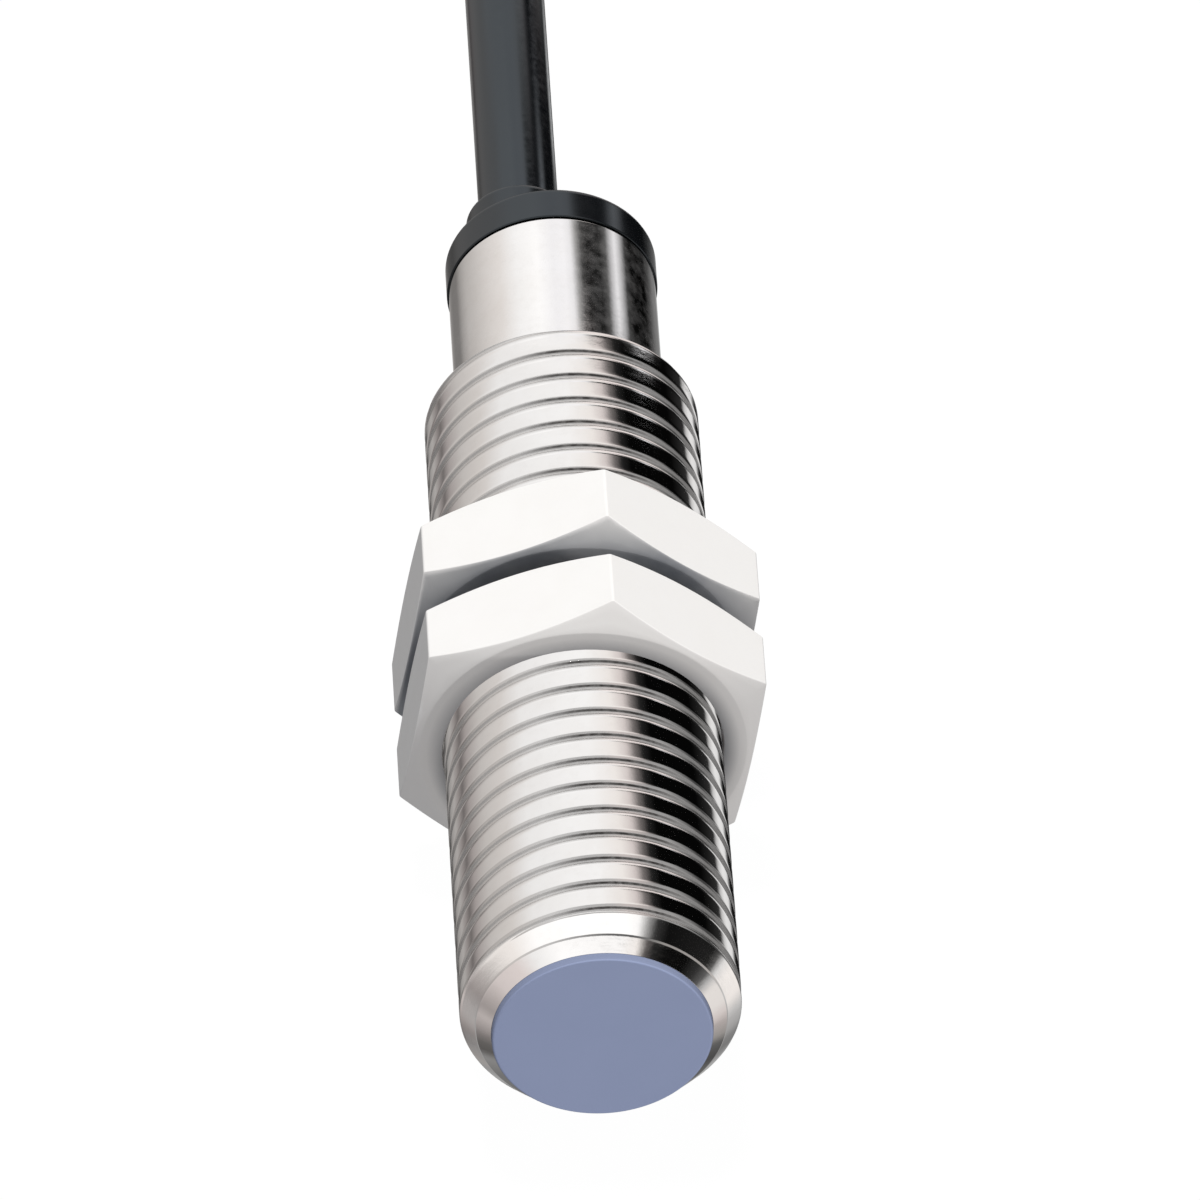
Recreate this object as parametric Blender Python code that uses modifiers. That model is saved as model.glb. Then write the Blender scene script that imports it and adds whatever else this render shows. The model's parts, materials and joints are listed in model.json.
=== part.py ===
"""Inductive proximity sensor: threaded metal barrel, blue sensing face, two plastic
mounting nuts, black rear cap and a short moulded cable with three leads.

Frame: the origin is the centre of the flat sensing face. +Y runs along the barrel towards
the cable, +Z is up, +X is to the right. Lengths are in metres, except in tables marked mm.
"""

import math
from contextlib import contextmanager

import bmesh
import bpy
from mathutils import Matrix, Vector

MM = 0.001

# Thread and barrel
THREAD_R = 6.0 * MM  # M12 major radius
THREAD_PITCH = 1.48 * MM
THREAD_DEPTH = 0.28 * MM
THREAD_GROOVE = 0.34 * MM  # groove width at the crest
THREAD_END_Y = 37.2 * MM
SHOULDER_Y = 1.698 * MM  # the front cone reaches the full radius here
RIM_R, RIM_Y = 5.334 * MM, 0.858 * MM  # edge between the front cone and the mouth chamfer
MOUTH_R, MOUTH_Y = 4.70 * MM, 0.33 * MM
MOUTH_DEPTH_Y = 1.55 * MM
BORE_R = 4.05 * MM
TAIL_R = 4.568 * MM
TAIL_END_Y = 45.78 * MM
TAIL_EDGE = 0.05 * MM
BLANK_EXTRA_R, BLANK_EXTRA_Y = 0.05 * MM, 0.063 * MM  # the cone runs on past the thread crest
BARREL_STEPS = 36

# Sensing face cap
FACE_R = 4.632 * MM
FACE_WALL = 1.0 * MM
FACE_EDGE = 0.07 * MM
FACE_BACK_Y = MOUTH_DEPTH_Y - 0.12 * MM
SKIRT_R, SKIRT_IN_R = 3.95 * MM, 3.45 * MM
FACE_SKIRT_END_Y = 11.0 * MM

# Seal rings and their grooves
SEAL_MAJOR, SEAL_MINOR = 3.81 * MM, 0.20 * MM
GROOVE_R, GROOVE_HALF = 3.58 * MM, 0.36 * MM
FRONT_SEAL_Y, REAR_SEAL_Y = 3.5 * MM, 42.1 * MM

# Ferrite core and coil leads
CORE_R, CORE_WALL, CORE_POST_R = 3.30 * MM, 0.55 * MM, 1.20 * MM
CORE_Y0, CORE_Y1, CORE_BACK = 1.20 * MM, 6.10 * MM, 1.20 * MM
CORE_FLOOR_Y = CORE_Y1 - CORE_BACK
COIL_STEPS = 28
LEAD_Z = 2.20 * MM
LEAD_R, LEAD_HOLE_R = 0.12 * MM, 0.32 * MM
LEAD_START_Y, LEAD_BEND_Y, LEAD_PAD_Y = 4.44 * MM, 11.3 * MM, 13.2 * MM
LEAD_FOOT = 1.0 * MM  # straight length on the board

# Circuit board
BOARD_T = 0.80 * MM
BOARD_Y0, BOARD_STEP_Y, BOARD_Y1 = 6.9 * MM, 12.2 * MM, 37.6 * MM
BOARD_TONGUE_HALF, BOARD_HALF = 2.5 * MM, 3.5 * MM
SOLDER = 0.08 * MM
PAD_Z = BOARD_T / 2 + SOLDER  # height of the solder above the board's middle plane

# Rear cap, boss and cable
CAP_R = 4.649 * MM
CAP_Y0, CAP_Y1 = 45.84 * MM, 47.64 * MM
CAP_SKIRT_Y0, CAP_SKIRT_IN_R = 41.0 * MM, 3.36 * MM
CAP_WALL_Y = 44.4 * MM
CAP_EDGE, FRONT_EDGE = 0.28 * MM, 0.05 * MM  # rounding at the cable end, chamfer at the front
BOSS_R, BOSS_END_Y, BOSS_EDGE = 2.364 * MM, 48.54 * MM, 0.26 * MM
BOSS_SINK = 0.6 * MM  # how far the boss form reaches into the cap
CABLE_X, CABLE_Z = -1.32 * MM, 1.80 * MM
CABLE_R, CABLE_IN_R = 1.767 * MM, 1.28 * MM
CABLE_Y0, CABLE_Y1 = 43.2 * MM, 84.0 * MM
CABLE_EDGE = 0.10 * MM
CABLE_STEPS = 32

# Cable cores
WIRE_R, WIRE_IN_R, COPPER_R = 0.52 * MM, 0.31 * MM, 0.22 * MM
WIRE_RING_R = 0.68 * MM  # core centres from the cable's axis
WIRE_Z = PAD_Z + WIRE_R
WIRE_START_Y, COPPER_START_Y = 34.9 * MM, 33.7 * MM
LEAD_OUT_Y, COPPER_OUT_Y = 97.0 * MM, 100.0 * MM
RISE_Y0, RISE_Y1 = 36.0 * MM, 38.2 * MM  # the cores climb from the board to the cable
FAN_INSET = 0.5 * MM  # the fan starts this far inside the jacket's end
FAN_Y0 = CABLE_Y1 - FAN_INSET
FAN_LENGTH = LEAD_OUT_Y - CABLE_Y1 + FAN_INSET
FAN_DROP = 1.6 * MM

# Rear potting
PLUG_TOOL_Y0, PLUG_TOOL_Y1 = 37.9 * MM, 41.0 * MM  # its cutters run past both faces

# Indicator
LED_X, LED_Z = 1.30 * MM, -1.77 * MM
LED_STEPS = 20
LED_LEG_X = 0.5 * MM  # legs to either side of the indicator's axis
LED_LEG_R = 0.16 * MM
LED_LEG_START_Y, LED_LEG_BEND_Y, LED_LEG_PAD_Y = 41.5 * MM, 38.0 * MM, 36.6 * MM
LED_LEG_PAD_Z = -PAD_Z - 0.20 * MM
LED_LEG_FOOT = 1.6 * MM

# Mounting nuts
NUT_CORNER_R = 8.486 * MM  # 14.7 mm across flats
NUT_CORNER_BREAK = 0.12 * MM
NUT_T = 4.12 * MM
NUT_FACE_R = 7.05 * MM
NUT_CHAMFER = math.radians(24.3)
NUT_BORE_R = 6.14 * MM
NUT_BLANK_R = 9.2 * MM
NUT_TURN = math.radians(9.0)
NUT_PLACES = {"front_nut": 19.25 * MM, "rear_nut": 24.47 * MM}  # middle of each nut along Y

for old in list(bpy.data.objects):
    bpy.data.objects.remove(old, do_unlink=True)

PARTS = bpy.data.collections.new("proximity_sensor")
CUTTERS = bpy.data.collections.new("cutters")
bpy.context.scene.collection.children.link(PARTS)
bpy.context.scene.collection.children.link(CUTTERS)


def pivot(name, display_size, y=0.0):
    """An empty on the barrel's axis, for pieces to hang from."""
    empty = bpy.data.objects.new(name, None)
    PARTS.objects.link(empty)
    empty.location = (0.0, y, 0.0)
    empty.empty_display_size = display_size
    return empty


AXIS = pivot("barrel_axis", display_size=0.01)


# ---------------------------------------------------------------- materials
def material(name, colour, roughness, metallic=0.0):
    made = bpy.data.materials.new(name)
    made.use_nodes = True
    shader = made.node_tree.nodes["Principled BSDF"]
    shader.inputs["Base Color"].default_value = (*colour, 1.0)
    shader.inputs["Roughness"].default_value = roughness
    shader.inputs["Metallic"].default_value = metallic
    return made


NICKEL = material("nickel_plate", colour=(0.62, 0.60, 0.57), roughness=0.18, metallic=1.0)
FACE_BLUE = material("face_blue", colour=(0.22, 0.27, 0.41), roughness=0.55)
NUT_WHITE = material("nut_white", colour=(0.78, 0.77, 0.75), roughness=0.45)
CAP_BLACK = material("cap_black", colour=(0.025, 0.027, 0.030), roughness=0.45)
CABLE_PVC = material("cable_pvc", colour=(0.03, 0.033, 0.035), roughness=0.5)
RUBBER = material("seal_rubber", colour=(0.02, 0.02, 0.02), roughness=0.7)
FERRITE = material("ferrite", colour=(0.045, 0.043, 0.042), roughness=0.6)
NYLON = material("bobbin_nylon", colour=(0.75, 0.72, 0.62), roughness=0.5)
COPPER = material("copper", colour=(0.72, 0.33, 0.16), roughness=0.3, metallic=1.0)
ENAMEL = material("enamelled_copper", colour=(0.45, 0.16, 0.06), roughness=0.3, metallic=0.6)
BOARD_GREEN = material("board_green", colour=(0.02, 0.14, 0.06), roughness=0.4)
CHIP_BLACK = material("chip_black", colour=(0.02, 0.02, 0.02), roughness=0.5)
CERAMIC = material("chip_ceramic", colour=(0.42, 0.30, 0.18), roughness=0.5)
TANTALUM = material("tantalum_yellow", colour=(0.75, 0.45, 0.08), roughness=0.5)
GLASS_DIODE = material("diode_glass", colour=(0.55, 0.20, 0.10), roughness=0.2)
RESIN = material("potting_resin", colour=(0.10, 0.10, 0.11), roughness=0.35)
FILM = material("insulating_film", colour=(0.75, 0.60, 0.25), roughness=0.4)
LED_RED = material("led_red", colour=(0.70, 0.04, 0.03), roughness=0.15)
LENS_CLEAR = material("lens_amber", colour=(0.80, 0.35, 0.10), roughness=0.1)
WIRE_BROWN = material("wire_brown", colour=(0.16, 0.06, 0.025), roughness=0.45)
WIRE_BLUE = material("wire_blue", colour=(0.03, 0.12, 0.42), roughness=0.45)
WIRE_BLACK = material("wire_black", colour=(0.015, 0.015, 0.015), roughness=0.45)


# ---------------------------------------------------------------- building helpers
@contextmanager
def editing(mesh):
    """Opens a mesh for editing and writes it back."""
    bm = bmesh.new()
    bm.from_mesh(mesh)
    yield bm
    bm.to_mesh(mesh)
    bm.free()


def put(obj, look=None, parent=None):
    """Links an object as a part, or as a hidden cutter if it has no material."""
    if look is None:
        CUTTERS.objects.link(obj)
        obj.hide_render = True
        obj.display_type = "WIRE"
    else:
        PARTS.objects.link(obj)
        obj.data.materials.append(look)
    obj.parent = parent
    return obj


def turned(name, outline, look=None, steps=BARREL_STEPS, x=0.0, z=0.0, y=0.0, closed=False):
    """A turned piece about an axis parallel to +Y. A part hangs from the barrel's axis.

    outline holds (radius, station along Y) pairs. It runs down the outer side, from the
    high end to the low end. A closed outline makes a ring.
    """
    mesh = bpy.data.meshes.new(name)
    points = [(radius, 0.0, station) for radius, station in outline]
    edges = [(i, i + 1) for i in range(len(points) - 1)]
    if closed:
        edges.append((len(points) - 1, 0))
    mesh.from_pydata(points, edges, [])
    obj = bpy.data.objects.new(name, mesh)
    obj.location = (x, y, z)
    obj.rotation_euler = (-math.pi / 2, 0.0, 0.0)
    put(obj, look, AXIS if look else None)
    spin = obj.modifiers.new("turn", "SCREW")
    spin.axis = "Z"
    spin.steps = steps
    spin.render_steps = steps
    spin.use_merge_vertices = True
    spin.merge_threshold = 1e-6
    return obj


def rod(name, radius, y0, y1, steps, x=0.0, z=0.0, look=None):
    """A plain cylinder along Y, from y0 to y1."""
    mesh = bpy.data.meshes.new(name)
    with editing(mesh) as bm:
        bmesh.ops.create_cone(bm, cap_ends=True, segments=steps, radius1=radius,
                              radius2=radius, depth=y1 - y0)
    obj = bpy.data.objects.new(name, mesh)
    obj.location = (x, (y0 + y1) / 2, z)
    obj.rotation_euler = (-math.pi / 2, 0.0, 0.0)
    return put(obj, look)


def block(name, x_ends, y_ends, z_ends, look=None, bevel=0.0):
    """A box between two ends on each axis, with its edges rounded if bevel is set."""
    ends = (x_ends, y_ends, z_ends)
    low = Vector([min(pair) for pair in ends])
    high = Vector([max(pair) for pair in ends])
    mesh = bpy.data.meshes.new(name)
    with editing(mesh) as bm:
        bmesh.ops.create_cube(bm, size=1.0)
        bmesh.ops.scale(bm, vec=high - low, verts=bm.verts)
    obj = bpy.data.objects.new(name, mesh)
    obj.location = (low + high) / 2
    put(obj, look)
    if bevel:
        edge = obj.modifiers.new("edges", "BEVEL")
        edge.width = bevel
        edge.segments = 2
    return obj


def cut(obj, *tools, operation="DIFFERENCE"):
    for tool in tools:
        boolean = obj.modifiers.new(operation.lower(), "BOOLEAN")
        boolean.operation = operation
        boolean.solver = "EXACT"
        boolean.object = tool


def evaluated_mesh(obj):
    """A new mesh of an object with its modifiers or curve settings applied."""
    bpy.context.view_layer.update()
    graph = bpy.context.evaluated_depsgraph_get()
    return bpy.data.meshes.new_from_object(obj.evaluated_get(graph))


def finish(obj, degrees=32.0):
    """Bakes an object's modifiers into its mesh and shades it smooth up to an angle."""
    made = evaluated_mesh(obj)
    obj.modifiers.clear()
    with editing(made) as bm:
        bmesh.ops.remove_doubles(bm, verts=bm.verts, dist=2e-7)
        bmesh.ops.dissolve_degenerate(bm, edges=bm.edges, dist=2e-7)
    old_mesh = obj.data
    obj.data = made
    made.name = obj.name
    # Guards against a modifier that hands back a mesh without its material.
    if not made.materials and old_mesh.materials:
        made.materials.append(old_mesh.materials[0])
    made.shade_smooth()
    made.set_sharp_from_angle(angle=math.radians(degrees))


def curve_to_mesh(name, curve, look=None):
    """Makes a mesh object from curve data, with the loose caps welded on."""
    source = bpy.data.objects.new(name, curve)
    PARTS.objects.link(source)
    mesh = evaluated_mesh(source)
    bpy.data.objects.remove(source, do_unlink=True)
    with editing(mesh) as bm:
        bmesh.ops.remove_doubles(bm, verts=bm.verts, dist=1e-7)
        bmesh.ops.recalc_face_normals(bm, faces=bm.faces)
    return put(bpy.data.objects.new(name, mesh), look)


def tube(name, points, radius, look=None, caps=True, resolution=0):
    """A round wire along points. A part is shaded smooth, a cutter is left flat."""
    curve = bpy.data.curves.new(name, "CURVE")
    curve.dimensions = "3D"
    curve.bevel_depth = radius
    curve.bevel_resolution = resolution
    curve.use_fill_caps = caps
    curve.twist_mode = "MINIMUM"
    spline = curve.splines.new("POLY")
    spline.points.add(len(points) - 1)
    for slot, point in zip(spline.points, points):
        slot.co = (*point, 1.0)
    obj = curve_to_mesh(name, curve, look)
    if look:
        obj.data.shade_smooth()
    return obj


def ease(t):
    return t * t * (3.0 - 2.0 * t)


def eased(a, b, t):
    """A point between two points, leaving and arriving along Y."""
    s = ease(t)
    return Vector((a.x + (b.x - a.x) * s, a.y + (b.y - a.y) * t, a.z + (b.z - a.z) * s))


# ---------------------------------------------------------------- shared outlines
def in_mm(outline):
    """Turns a table of (radius, station) in mm into metres."""
    return [(radius * MM, station * MM) for radius, station in outline]


def sleeve_outline(inner, outer, y0, y1):
    return [(inner, y1), (outer, y1), (outer, y0), (inner, y0)]


def rounded_edge(radius, y, reach):
    """Three points that round an outer edge at its high end."""
    inset = 0.08 * MM
    return [(radius - reach, y), (radius - inset, y - inset), (radius, y - reach)]


def seal_groove(y):
    """The rectangular groove for a seal ring in a skirt's outside."""
    return [
        (SKIRT_R, y + GROOVE_HALF),
        (GROOVE_R, y + GROOVE_HALF),
        (GROOVE_R, y - GROOVE_HALF),
        (SKIRT_R, y - GROOVE_HALF),
    ]


def seal_ring(name, y, sides=6):
    """Its section runs clockwise, seen with the radius to the right and Y up."""
    angles = [-2 * math.pi * i / sides for i in range(sides)]
    section = [(SEAL_MAJOR + SEAL_MINOR * math.cos(angle), y + SEAL_MINOR * math.sin(angle))
               for angle in angles]
    finish(turned(name, section, RUBBER, closed=True), 80)


# ---------------------------------------------------------------- threaded barrel
def thread_form():
    """A closed threaded rod, longer than the barrel, that gives the barrel its thread."""
    root = THREAD_R - THREAD_DEPTH
    # The sweep starts a quarter turn away from the top, so this puts a groove at
    # SHOULDER_Y on top.
    first = SHOULDER_Y - 3.75 * THREAD_PITCH
    turns = int((TAIL_END_Y - first) / THREAD_PITCH) + 4
    outline = []
    for turn in range(turns, -1, -1):
        groove = first + turn * THREAD_PITCH
        outline += [
            (THREAD_R, groove + THREAD_GROOVE / 2),
            (root, groove),
            (THREAD_R, groove - THREAD_GROOVE / 2),
        ]
    # It starts and ends at a root, so that one turn of the sweep meets the next.
    obj = turned("thread_form", outline[1:-1])
    obj.modifiers["turn"].screw_offset = THREAD_PITCH
    made = evaluated_mesh(obj)
    obj.modifiers.clear()
    with editing(made) as bm:
        bmesh.ops.remove_doubles(bm, verts=bm.verts, dist=1e-6)
        low = min(v.co.z for v in bm.verts) - THREAD_PITCH
        high = max(v.co.z for v in bm.verts) + THREAD_PITCH
        middle = (low + high) / 2
        # Each open end is closed by a fan to a tip on the axis.
        for tip in (low, high):
            rim = [e for e in bm.edges
                   if e.is_boundary and (e.verts[0].co.z > middle) == (tip > middle)]
            fan = bmesh.ops.extrude_edge_only(bm, edges=rim)["geom"]
            tips = [g for g in fan if isinstance(g, bmesh.types.BMVert)]
            bmesh.ops.pointmerge(bm, verts=tips, merge_co=(0.0, 0.0, tip))
        bmesh.ops.recalc_face_normals(bm, faces=bm.faces)
    obj.data = made
    return obj


def threaded_barrel():
    outline = [
        (BORE_R, TAIL_END_Y),
        (TAIL_R - TAIL_EDGE, TAIL_END_Y),
        (TAIL_R, TAIL_END_Y - TAIL_EDGE),
        (TAIL_R, THREAD_END_Y),
        (THREAD_R + BLANK_EXTRA_R, THREAD_END_Y),
        (THREAD_R + BLANK_EXTRA_R, SHOULDER_Y + BLANK_EXTRA_Y),
        (RIM_R, RIM_Y),
        (MOUTH_R, MOUTH_Y),
        (MOUTH_R, MOUTH_DEPTH_Y),
        (BORE_R, MOUTH_DEPTH_Y),
    ]
    barrel = turned("threaded_barrel", outline, NICKEL, closed=True)
    cut(barrel, thread_form(), operation="INTERSECT")
    finish(barrel, 30.0)


threaded_barrel()


# ---------------------------------------------------------------- sensing face
def sensing_face_cap():
    outline = [
        (0.0, FACE_WALL),
        (SKIRT_IN_R, FACE_WALL),
        (SKIRT_IN_R, FACE_SKIRT_END_Y),
        (SKIRT_R, FACE_SKIRT_END_Y),
        *seal_groove(FRONT_SEAL_Y),
        (SKIRT_R, FACE_BACK_Y),
        (FACE_R, FACE_BACK_Y),
        (FACE_R, FACE_EDGE),
        (FACE_R - FACE_EDGE, 0.0),
        (0.0, 0.0),
    ]
    finish(turned("sensing_face_cap", outline, FACE_BLUE))


sensing_face_cap()
seal_ring("front_seal_ring", FRONT_SEAL_Y)

# ---------------------------------------------------------------- core, bobbin and winding
# Radius and station, mm
BOBBIN_OUTLINE = in_mm([
    (1.32, 4.72), (2.62, 4.72), (2.62, 4.42), (1.62, 4.42),
    (1.62, 1.68), (2.62, 1.68), (2.62, 1.38), (1.32, 1.38),
])
CORE_OUTLINE = [
    (0.0, CORE_Y1),
    (CORE_R, CORE_Y1),
    (CORE_R, CORE_Y0),
    (CORE_R - CORE_WALL, CORE_Y0),
    (CORE_R - CORE_WALL, CORE_FLOOR_Y),
    (CORE_POST_R, CORE_FLOOR_Y),
    (CORE_POST_R, CORE_Y0),
    (0.0, CORE_Y0),
]

lead_tools = [
    rod(name, LEAD_HOLE_R, CORE_FLOOR_Y - 0.8 * MM, 12.0 * MM, 12, z=height)
    for name, height in (("lead_tool_top", LEAD_Z), ("lead_tool_low", -LEAD_Z))
]
core = turned("ferrite_core", CORE_OUTLINE, FERRITE, COIL_STEPS)
bobbin = turned("coil_bobbin", BOBBIN_OUTLINE, NYLON, COIL_STEPS, closed=True)
for piece in (core, bobbin):
    cut(piece, *lead_tools)
    finish(piece)


def coil_winding(inner, outer, y0, y1, layers, crown):
    """The wound section: its outer side is a row of wire crowns."""
    step = (y1 - y0) / layers
    outline = [(inner, y1)]
    for layer in range(layers):
        top = y1 - layer * step
        outline += [(outer - crown, top), (outer, top - step / 2)]
    outline += [(outer - crown, y0), (inner, y0)]
    finish(turned("coil_winding", outline, ENAMEL, COIL_STEPS, closed=True), 60)


coil_winding(inner=1.70 * MM, outer=2.50 * MM, y0=1.76 * MM, y1=4.32 * MM, layers=7,
             crown=0.09 * MM)


def coil_lead(name, sign):
    """A coil end that runs back and bends in to the board; sign 1 is above, -1 below."""
    bend = Vector((0.0, LEAD_BEND_Y, sign * LEAD_Z))
    pad = Vector((0.0, LEAD_PAD_Y, sign * (PAD_Z + LEAD_R)))
    points = [Vector((0.0, LEAD_START_Y, sign * LEAD_Z))]
    points += [eased(bend, pad, i / 6) for i in range(7)]
    points.append(pad + Vector((0.0, LEAD_FOOT, 0.0)))
    tube(name, points, LEAD_R, ENAMEL)


coil_lead("coil_lead_a", 1)
coil_lead("coil_lead_b", -1)

# ---------------------------------------------------------------- carrier, potting, sleeve
SLOT_HALF_X, SLOT_HALF_Z = 2.65 * MM, 0.56 * MM

slot_tool = block("board_slot_tool", (-SLOT_HALF_X, SLOT_HALF_X), (6.75 * MM, 11.9 * MM),
                  (-SLOT_HALF_Z, SLOT_HALF_Z))
carrier = rod("core_carrier", 3.30 * MM, 6.28 * MM, 8.30 * MM, COIL_STEPS, look=NYLON)
potting = rod("front_potting", 3.35 * MM, 8.50 * MM, 10.8 * MM, COIL_STEPS, look=RESIN)
for piece in (carrier, potting):
    cut(piece, slot_tool, *lead_tools)
    finish(piece)

finish(turned("insulating_sleeve",
              sleeve_outline(inner=3.75 * MM, outer=3.93 * MM, y0=11.3 * MM, y1=40.5 * MM),
              FILM, 32, closed=True))


# ---------------------------------------------------------------- circuit board
def circuit_board():
    """A flat board: a narrow tongue at the coil end, then the full width."""
    half = [(BOARD_TONGUE_HALF, BOARD_Y0), (BOARD_TONGUE_HALF, BOARD_STEP_Y),
            (BOARD_HALF, BOARD_STEP_Y), (BOARD_HALF, BOARD_Y1)]
    corners = half + [(-x, y) for x, y in reversed(half)]
    curve = bpy.data.curves.new("circuit_board", "CURVE")
    curve.dimensions = "2D"
    curve.fill_mode = "BOTH"
    curve.extrude = BOARD_T / 2
    outline = curve.splines.new("POLY")
    outline.points.add(len(corners) - 1)
    for slot, (x, y) in zip(outline.points, corners):
        slot.co = (x, y, 0.0, 1.0)
    outline.use_cyclic_u = True
    curve_to_mesh("circuit_board", curve, BOARD_GREEN)


circuit_board()

BODY_LIFT = 0.10 * MM  # chip body above the solder
LEG_OVERLAP, LEG_HALF, LEG_T = 0.25 * MM, 0.2 * MM, 0.22 * MM
END_LIFT, END_GROW, END_SHARE = 0.04 * MM, 0.04 * MM, 0.22  # share of the chip's length

# Name, material, x, y, (width, length, height), legs as (side, place along Y), width over
# the legs, board side (1 top, -1 underside); mm
CHIPS_WITH_LEGS = [
    ("oscillator_ic", CHIP_BLACK, 0.0, 19.2, (3.0, 4.4, 1.3),
     [(side, (k - 1.5) * 1.1) for side in (-1, 1) for k in range(4)], 4.6, 1),
    ("output_transistor", CHIP_BLACK, 1.5, 25.0, (1.4, 2.9, 1.0),
     [(1, 0.0), (-1, 0.95), (-1, -0.95)], 2.4, 1),
    ("suppressor_diode", CHIP_BLACK, 0.0, 21.5, (2.6, 3.6, 1.9),
     [(-1, 0.0), (1, 0.0)], 4.6, -1),
]
# Name, material, x, y, (width, length, height), board side; mm
RESISTOR_SIZE = (1.25, 2.0, 0.55)
CHIPS_WITH_ENDS = [
    ("timing_capacitor", CERAMIC, -1.5, 15.4, (1.25, 2.0, 1.1), 1),
    ("trim_resistor", CHIP_BLACK, 1.5, 15.4, RESISTOR_SIZE, 1),
    ("smoothing_capacitor", TANTALUM, 1.6, 30.0, (1.6, 3.2, 1.6), 1),
    ("load_resistor", CHIP_BLACK, -1.8, 30.0, RESISTOR_SIZE, 1),
    ("led_resistor", CHIP_BLACK, 0.0, 28.5, RESISTOR_SIZE, -1),
]


def chip_body(name, look, x, y, size, lift, side, bevel=0.0):
    """The chip's block, and its two ends along Z in rising order."""
    width, length, height = size
    z_ends = sorted((side * (PAD_Z + lift), side * (PAD_Z + lift + height)))
    body = block(name, (x - width / 2, x + width / 2), (y - length / 2, y + length / 2),
                 z_ends, look, bevel)
    return body, z_ends


def chip_with_legs(name, look, x, y, size, legs, leg_span, side):
    """A moulded chip with flat legs along its two long sides."""
    body, _ = chip_body(name, look, x, y, size, BODY_LIFT, side, bevel=0.08 * MM)
    for number, (leg_side, along) in enumerate(legs):
        leg = block(
            f"{name}_leg_{number}",
            (x + leg_side * (size[0] / 2 - LEG_OVERLAP), x + leg_side * leg_span / 2),
            (y + along - LEG_HALF, y + along + LEG_HALF),
            (side * PAD_Z, side * (PAD_Z + LEG_T)),
        )
        cut(body, leg, operation="UNION")
    finish(body)


def chip_with_ends(name, look, x, y, size, side):
    """A chip resistor or capacitor: a block with a slightly thicker end at each side."""
    body, (z0, z1) = chip_body(name, look, x, y, size, END_LIFT, side)
    half_x, half_y = size[0] / 2, size[1] / 2
    for number, sign in enumerate((-1, 1)):
        end = block(
            f"{name}_end_{number}",
            (x - half_x - END_GROW, x + half_x + END_GROW),
            (y + sign * (half_y + END_GROW), y + sign * (half_y - size[1] * END_SHARE)),
            (z0 - END_GROW, z1 + END_GROW),
        )
        cut(body, end, operation="UNION")
    finish(body)


for name, look, x, y, size, legs, leg_span, side in CHIPS_WITH_LEGS:
    chip_with_legs(name, look, x * MM, y * MM, [length * MM for length in size],
                   [(leg_side, along * MM) for leg_side, along in legs], leg_span * MM, side)
for name, look, x, y, size, side in CHIPS_WITH_ENDS:
    chip_with_ends(name, look, x * MM, y * MM, [length * MM for length in size], side)

# Radius and station, mm: a glass body with a wider band at each end
DIODE_OUTLINE = in_mm([
    (0.0, 26.7), (0.72, 26.7), (0.72, 26.2), (0.66, 26.15),
    (0.66, 23.85), (0.72, 23.8), (0.72, 23.3), (0.0, 23.3),
])
finish(turned("protection_diode", DIODE_OUTLINE, GLASS_DIODE, 16, x=-1.7 * MM,
              z=PAD_Z + 0.74 * MM))

# ---------------------------------------------------------------- cable cores
# Material, angle about the cable's axis, x on the board, x at the end of the fan
CORES = {
    "brown": (WIRE_BROWN, math.radians(210), -2.4 * MM, -4.2 * MM),
    "black": (WIRE_BLACK, math.radians(90), -0.9 * MM, 0.6 * MM),
    "blue": (WIRE_BLUE, math.radians(330), 1.0 * MM, 4.6 * MM),
}


def core_path(core_x, core_z, pad_x, fan_x, y0, y1):
    """One core: board pad, step up to the cable, straight through the jacket, then a fan."""
    stations = [y0, RISE_Y0]
    stations += [RISE_Y0 + (RISE_Y1 - RISE_Y0) * i / 6 for i in range(1, 7)]
    stations += [CABLE_Y0, FAN_Y0]
    stations += [FAN_Y0 + FAN_LENGTH * i / 9 for i in range(1, 10)]
    # The path ends at y1 once, even where the fan's last station falls there too.
    stations = [y for y in stations if y < y1] + [y1]
    points = []
    for y in stations:
        if y <= RISE_Y1:
            rise = ease(max(0.0, (y - RISE_Y0) / (RISE_Y1 - RISE_Y0)))
            x = pad_x + (core_x - pad_x) * rise
            z = WIRE_Z + (core_z - WIRE_Z) * rise
        elif y <= FAN_Y0:
            x, z = core_x, core_z
        else:
            t = (y - FAN_Y0) / FAN_LENGTH
            x = core_x + (fan_x - core_x) * t * t * (2.0 - t)
            z = core_z - FAN_DROP * t * t
        points.append(Vector((x, y, z)))
    return points


def cable_core(colour, look, angle, pad_x, fan_x):
    """One insulated core and its conductor. Returns the cutter for its hole in the potting."""
    core_x = CABLE_X + WIRE_RING_R * math.cos(angle)
    core_z = CABLE_Z + WIRE_RING_R * math.sin(angle)
    place = (core_x, core_z, pad_x, fan_x)
    skin = tube("wire_" + colour, core_path(*place, WIRE_START_Y, LEAD_OUT_Y), WIRE_R, look,
                caps=False, resolution=1)
    wall = skin.modifiers.new("wall", "SOLIDIFY")
    wall.thickness = WIRE_R - WIRE_IN_R
    wall.offset = -1.0
    tube("conductor_" + colour, core_path(*place, COPPER_START_Y, COPPER_OUT_Y), COPPER_R,
         COPPER)
    return rod(f"core_tool_{colour}", WIRE_R + 0.05 * MM, PLUG_TOOL_Y0, PLUG_TOOL_Y1, 12,
               x=core_x, z=core_z)


core_tools = [cable_core(colour, *row) for colour, row in CORES.items()]


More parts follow.
